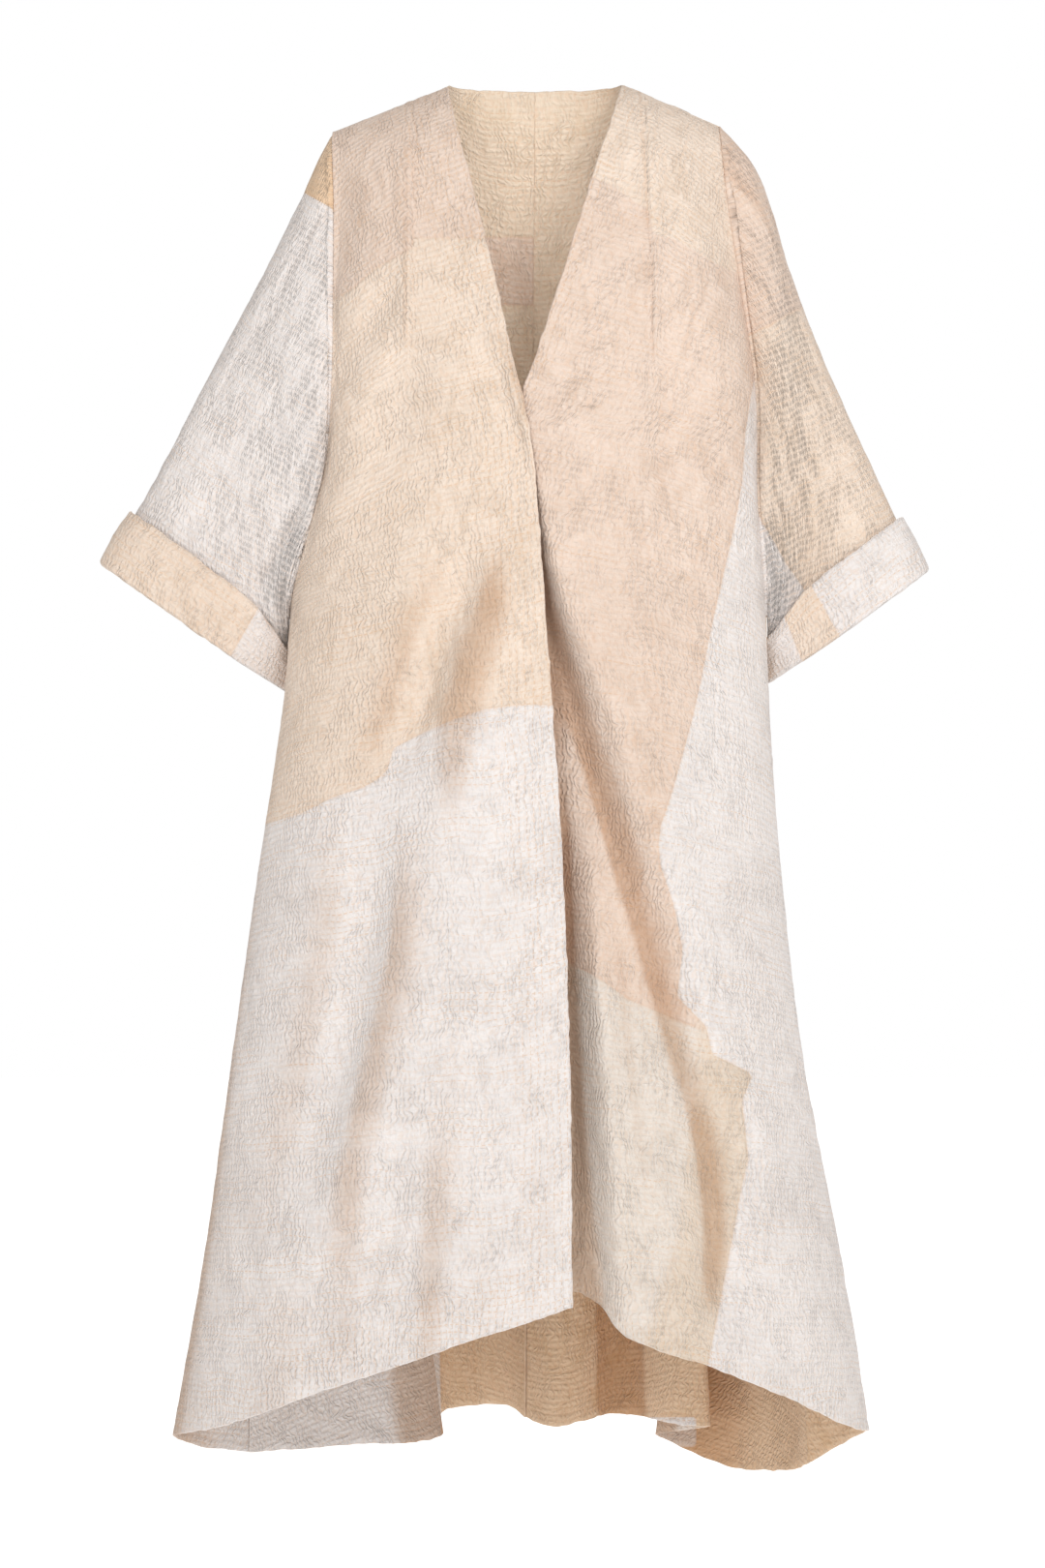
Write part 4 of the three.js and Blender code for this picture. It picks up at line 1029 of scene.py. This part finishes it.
def quiltedCotton(name, ground, patches, lining, seed, edgeRows, threadShown):
    # the ground colour and its patches, then mottling, threads, painted shade in hollows, folds and
    # ripples, and a sheen
    made = bpy.data.materials.new(name)
    made.use_nodes = True
    tree = made.node_tree
    link = tree.links.new
    look = tree.nodes["Principled BSDF"].inputs
    uv = addNode(tree, "ShaderNodeUVMap", uv_map="clothMm").outputs["UV"]
    parts = addNode(tree, "ShaderNodeSeparateXYZ", {"Vector": uv}).outputs
    along, down = parts["X"], parts["Y"]

    colours, groove = cottonColours[ground], 0.0
    for label, patch, softness in patches:
        inputs = {
            "Under": colours, "Patch": colours if patch is None else cottonColours[patch],
            "Distance": attribute(tree, label), "Softness": softness,
            "Depth": 1.0 if softness < 2 else 0.4, "Groove": groove}
        edge = addNode(tree, "ShaderNodeGroup", inputs, node_tree=groups["patch"])
        colours, groove = edge.outputs["Colour"], edge.outputs["Groove"]

    if lining is None:  # the patches are those of the inside, and they are paler outside
        outside = timesPlus(tree, attribute(tree, "inside"), -0.6, 0.6)
        colours = blendColour(tree, outside, colours, cottonColours["cream"])
    elif lining != "same":
        colours = blendColour(tree, attribute(tree, "inside"), colours, cottonColours[lining])

    place = {"Along": along, "Down": down, "Seed": seed}
    turned = {"Along": down, "Down": along, "Seed": seed + 3}
    rows = addNode(
        tree, "ShaderNodeGroup", {**place, "Shown": threadShown}, node_tree=groups["stitches"])
    uprights = addNode(
        tree, "ShaderNodeGroup", {**turned, "Shown": 0.3, "Row spacing": 7.0},
        node_tree=groups["stitches"])
    crinkle = addNode(
        tree, "ShaderNodeGroup", {**place, "Pinch": rows.outputs["Pinch"]},
        node_tree=groups["crinkle"])
    toEdge = attribute(tree, "toEdge")
    nearEdge = ramp(tree, toEdge, 0.7 * edgeRows, edgeRows + 0.1, 1.0, 0.0)
    upright = times(tree, uprights.outputs["Thread"], nearEdge)
    thread = calc(tree, "MAXIMUM", rows.outputs["Thread"], upright)
    offTopstitch = calc(tree, "ABSOLUTE", minus(tree, toEdge, topstitchInset))
    topstitch = ramp(tree, offTopstitch, 0.3, 0.9, 1.0, 0.0)

    mottle = ramp(tree, crinkle.outputs["Mottle"], 0.3, 0.7, 0.965, 1.02)
    weave = ramp(tree, crinkle.outputs["Weave"], 0.3, 0.7, 0.955, 1.03)
    # painted shade, up to 7% darker where the wrinkles lie low
    wrinkleShade = ramp(tree, attribute(tree, "wrinkle"), -0.7, 0.3, 0.93, 1.0)
    # painted shade in fold hollows and on the long fold's slope
    fold = ramp(tree, attribute(tree, "fold"), 0.3, 5.5, 0.0, 0.8)
    # painted shade where the ripples lie low
    paintedValleyShade = times(tree, crinkle.outputs["Valley"], 0.26)
    value = times(tree, times(tree, mottle, weave), wrinkleShade)
    # more saturated where darker: warm painted shade in the wrinkles' low places, and random tone
    # from mottling and weave
    saturation = ramp(tree, value, 0.85, 1.0, 1.25, 1.0)
    inputs = {"Color": colours, "Value": value, "Saturation": saturation}
    shaded = addNode(tree, "ShaderNodeHueSaturation", inputs).outputs["Color"]
    final = blendColour(tree, times(tree, thread, 0.4), shaded, cottonColours["thread"])
    # the tan darkens the grooves; the valley and fold tints are painted shade
    for share, tint in ((times(tree, groove, 0.16), "tan"), (paintedValleyShade, "paintedValleyShade"), (fold, "fold")):
        final = blendColour(tree, share, final, cottonColours[tint], "MULTIPLY")
    link(final, look["Base Color"])

    inputs = {"Height": crinkle.outputs["Weave"], "Strength": 0.35, "Distance": 0.0006}
    fine = addNode(tree, "ShaderNodeBump", inputs).outputs["Normal"]
    stitched = calc(tree, "ADD", times(tree, thread, 0.5), times(tree, topstitch, -0.6))
    relief = timesPlus(tree, stitched, 0.1, crinkle.outputs["Height"])
    edgePinch = times(tree, uprights.outputs["Pinch"], nearEdge)
    relief = timesPlus(tree, edgePinch, -0.12, relief)
    relief = timesPlus(tree, groove, -0.14, relief)
    inputs = {"Height": relief, "Strength": 1.0, "Distance": 0.0021, "Normal": fine}
    link(addNode(tree, "ShaderNodeBump", inputs).outputs["Normal"], look["Normal"])
    link(ramp(tree, crinkle.outputs["Weave"], 0.3, 0.7, 0.95, 0.86), look["Roughness"])
    look["Specular IOR Level"].default_value = 0.25
    look["Sheen Weight"].default_value = 0.18
    look["Sheen Roughness"].default_value = 0.55
    return made


# the pieces of the kimono
# Patch lines are x, z on the front view; the patch lies to the left of the way a line is walked.

fineRows = np.concatenate([
    np.linspace(0, 5, 26)[:-1], np.linspace(5, 14, 86)[:-1], np.linspace(14, 33, 156)])
underarmIndex = 110
frontShares = np.concatenate([
    np.linspace(0, body["tuckShare"] - 0.002, 54), np.linspace(body["tuckShare"], 1, 96)])
backShares = np.linspace(0, 1, 150)

# For each piece: the seed of its wrinkles, the colours of its ground and its other side (None is a
# paler outside), how far stitches beside an edge reach, how little thread shows, its cut in metres
# and its patches as line, colour and softness. A patch without a colour is only a crease.
panels = {
    "front_left": {
        "seed": 11, "ground": "pink", "lining": "white", "edgeRows": 60, "thread": 0.5,
        "flat": (0.57, 1.31), "area": 0.395,
        "patches": {
            "tuckLine": ([(-108, 10), (-109, -60), (-111, -184)], None, 2.5),
            "yoke": ([(-30, -141), (-111, -141), (-114, -151), (-128, -160), (-148, -170),
                      (-166, -188), (-191, -202)], "cream", 0.6),
            "lower": ([(18, -585), (-12, -585), (-44, -589), (-71, -598), (-100, -611),
                       (-130, -626), (-136, -647), (-144, -655), (-158, -663), (-188, -673),
                       (-217, -688), (-247, -697)], "white", 0.6),
        },
    },
    "front_right": {
        "seed": 23, "ground": "pink", "lining": "tan", "edgeRows": 20, "thread": 0.56,
        "flat": (0.58, 1.32), "area": 0.408,
        "patches": {
            "yoke": ([(48, -80), (63, -85), (78, -91), (104, -110), (114, -114), (117, -137),
                      (140, -143), (168, -161), (194, -174)], "cream", 0.6),
            "line": ([(117, -247), (137, -262), (173, -280), (204, -293)], None, 2.5),
            "tuckLine": ([(103, 10), (107, -50), (112, -126)], None, 0.6),
            "lower": ([(129, -880), (95, -866), (61, -842), (33, -828)], "pale", 0.8),
            "shade": ([(155, -965), (143, -1087), (119, -1165)], "sand", 7),
            "side": ([(212, -273), (204, -324), (201, -370), (195, -409), (183, -462),
                      (171, -515), (163, -556), (154, -597), (143, -638), (133, -673),
                      (124, -700), (122, -717), (124, -737), (136, -773), (145, -816),
                      (140, -862), (167, -890), (173, -917), (211, -936), (201, -961),
                      (207, -1016), (201, -1043), (193, -1087), (183, -1138), (169, -1210)],
                     "white", 0.6),
        },
    },
    "back_left": {
        "seed": 37, "ground": "tan", "lining": None, "thread": 0.5,
        "flat": (0.39, 1.36), "area": 0.357,
        "patches": {
            "strip": ([(-52, -1300), (-56, -1000)], "tan", 0.6),
            "upper": ([(-320, -520), (-120, -590), (4, -600)], "straw", 0.6),
            "mend": ([(-49, -205), (4, -205), (4, -140), (-49, -140), (-49, -205)], "pink", 0.8),
            "lower": ([(-85, -1300), (-90, -1010), (-130, -930), (-340, -860)], "white", 0.6),
        },
    },
    "back_right": {
        "seed": 51, "ground": "tan", "lining": None, "thread": 0.52,
        "flat": (0.56, 1.38), "area": 0.394,
        "patches": {
            "upper": ([(4, -470), (120, -455), (300, -520)], "straw", 0.6),
            "lower": ([(320, -990), (210, -960), (150, -760), (4, -730)], "tan", 0.6),
            "strip": ([(105, -1290), (158, -1290), (158, -1262), (105, -1262), (105, -1290)],
                      "white", 0.6),
        },
    },
}


def finishPiece(made, name, values):
    # the piece gets its quilted cotton and stands for its solid, which is hidden
    looks = [(label, patch, softness) for label, (_, patch, softness) in values["patches"].items()]
    cotton = quiltedCotton(
        name + "_cotton", values["ground"], looks, values["lining"], float(values["seed"]),
        values.get("edgeRows", 0), values["thread"])
    made.data.materials.append(cotton)
    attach(made, "root")
    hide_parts(name)


for name, values in panels.items():
    part, side = name.split("_")
    isFront = part == "front"
    shares = frontShares if isFront else backShares
    grid = (frontPoint if isFront else backPoint)(side, shares[:, None], fineRows[None, :])
    u, v = clothLengths(grid)
    made = quiltedPiece(
        name + "_cloth", grid, u, v, values["seed"],
        seams=("last", "top") if isFront else ("first", "last", "top"),
        patches=values["patches"],
        openTop=None if isFront else shares < body["neckShare"],
        slope=stepFoldSlope(grid) if name == "front_right" else 0.0,
        flip=(side == "left") == isFront)
    finishPiece(made, name, values)
    print("made", name)

arms = {
    "sleeve_left": {
        "seed": 67, "ground": "white", "lining": "straw", "thread": 0.56,
        "flat": (0.60, 0.46), "area": 0.139,
        "patches": {"top": ([(-213, -99), (-191, -111), (-184, -119)], "tan", 0.6)},
    },
    "sleeve_right": {
        "seed": 79, "ground": "cream", "lining": "straw", "thread": 0.52,
        "flat": (0.58, 0.46), "area": 0.116,
        "patches": {
            "top": ([(212, -231), (266, -203)], "pink", 0.6),
            "inner": ([(262, -477), (245, -453), (218, -406)], "white", 0.6),
        },
    },
    "cuff_left": {
        "seed": 83, "ground": "cream", "lining": "same", "thread": 0.5,
        "flat": (0.51, 0.068), "area": 0.0345,
        "patches": {"inner": ([(-261, -496), (-281, -531)], "white", 0.6)},
    },
    "cuff_right": {
        "seed": 97, "ground": "white", "lining": "same", "thread": 0.5,
        "flat": (0.44, 0.068), "area": 0.0298,
        "patches": {
            "middle": ([(242, -500), (259, -543)], "cream", 0.6),
            "outer": ([(270, -476), (293, -517)], "white", 0.6),
        },
    },
}


def roundLengths(grid, half):
    # lengths round the sleeve counted both ways from the top
    u, v = clothLengths(grid)
    total = u[-1] + np.linalg.norm(grid[0] - grid[-1], axis=1)
    later = (np.arange(len(grid)) > half)[:, None]
    return np.where(later, u - total[None], u), v


for side in ("left", "right"):
    rows = fineRows[None, :underarmIndex + 1]
    downFront = frontPoint(side, np.ones((1, 1)), rows)[0]
    upBack = backPoint(side, np.ones((1, 1)), rows)[0, 1:-1][::-1]
    ring = np.concatenate([downFront, upBack])
    columns, angle = sleeveGrid(side, ring, underarmIndex, np.linspace(0, 1, 100))
    turnUp = cuffGrid(side, columns, angle)
    for name, grid in (("sleeve_" + side, columns), ("cuff_" + side, turnUp)):
        values = arms[name]
        u, v = roundLengths(grid, underarmIndex)
        isSleeve = name.startswith("sleeve")
        reach = unit(grid[:, -1].mean(0) - grid[:, 0].mean(0))
        made = quiltedPiece(
            name + "_cloth", grid, u, v, values["seed"],
            seams=("top",) if isSleeve else (), patches=values["patches"],
            joined=("bottom",) if isSleeve else ("top",), closed=True, flip=side == "right",
            downward=grid @ reach if isSleeve else None)
        finishPiece(made, name, values)
        print("made", name)

# the floor

size, low = studio["floorSize"] / 2, studio["floorHeight"]
corners = [(-size, -size, low), (size, -size, low), (size, size, low), (-size, size, low)]
floorMesh = bpy.data.meshes.new("floor")
floorMesh.from_pydata(corners, [], [(0, 1, 2, 3)])
floor = bpy.data.objects.new("floor", floorMesh)
bpy.context.scene.collection.objects.link(floor)
paint = bpy.data.materials.new("pale_floor")
paint.use_nodes = True
floorLook = paint.node_tree.nodes["Principled BSDF"].inputs
floorLook["Base Color"].default_value = (*studio["floorColour"], 1)
floorLook["Roughness"].default_value = 0.8
floorLook["Emission Color"].default_value = (1, 1, 1, 1)
brighterToCamera(
    paint.node_tree, studio["floorGlow"], studio["floorSeen"], floorLook["Emission Strength"])
floorMesh.materials.append(paint)
floor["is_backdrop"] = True

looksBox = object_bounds()
{"cad": [list(corner) for corner in cadBox], "visual": [list(corner) for corner in looksBox]}
print("finished")
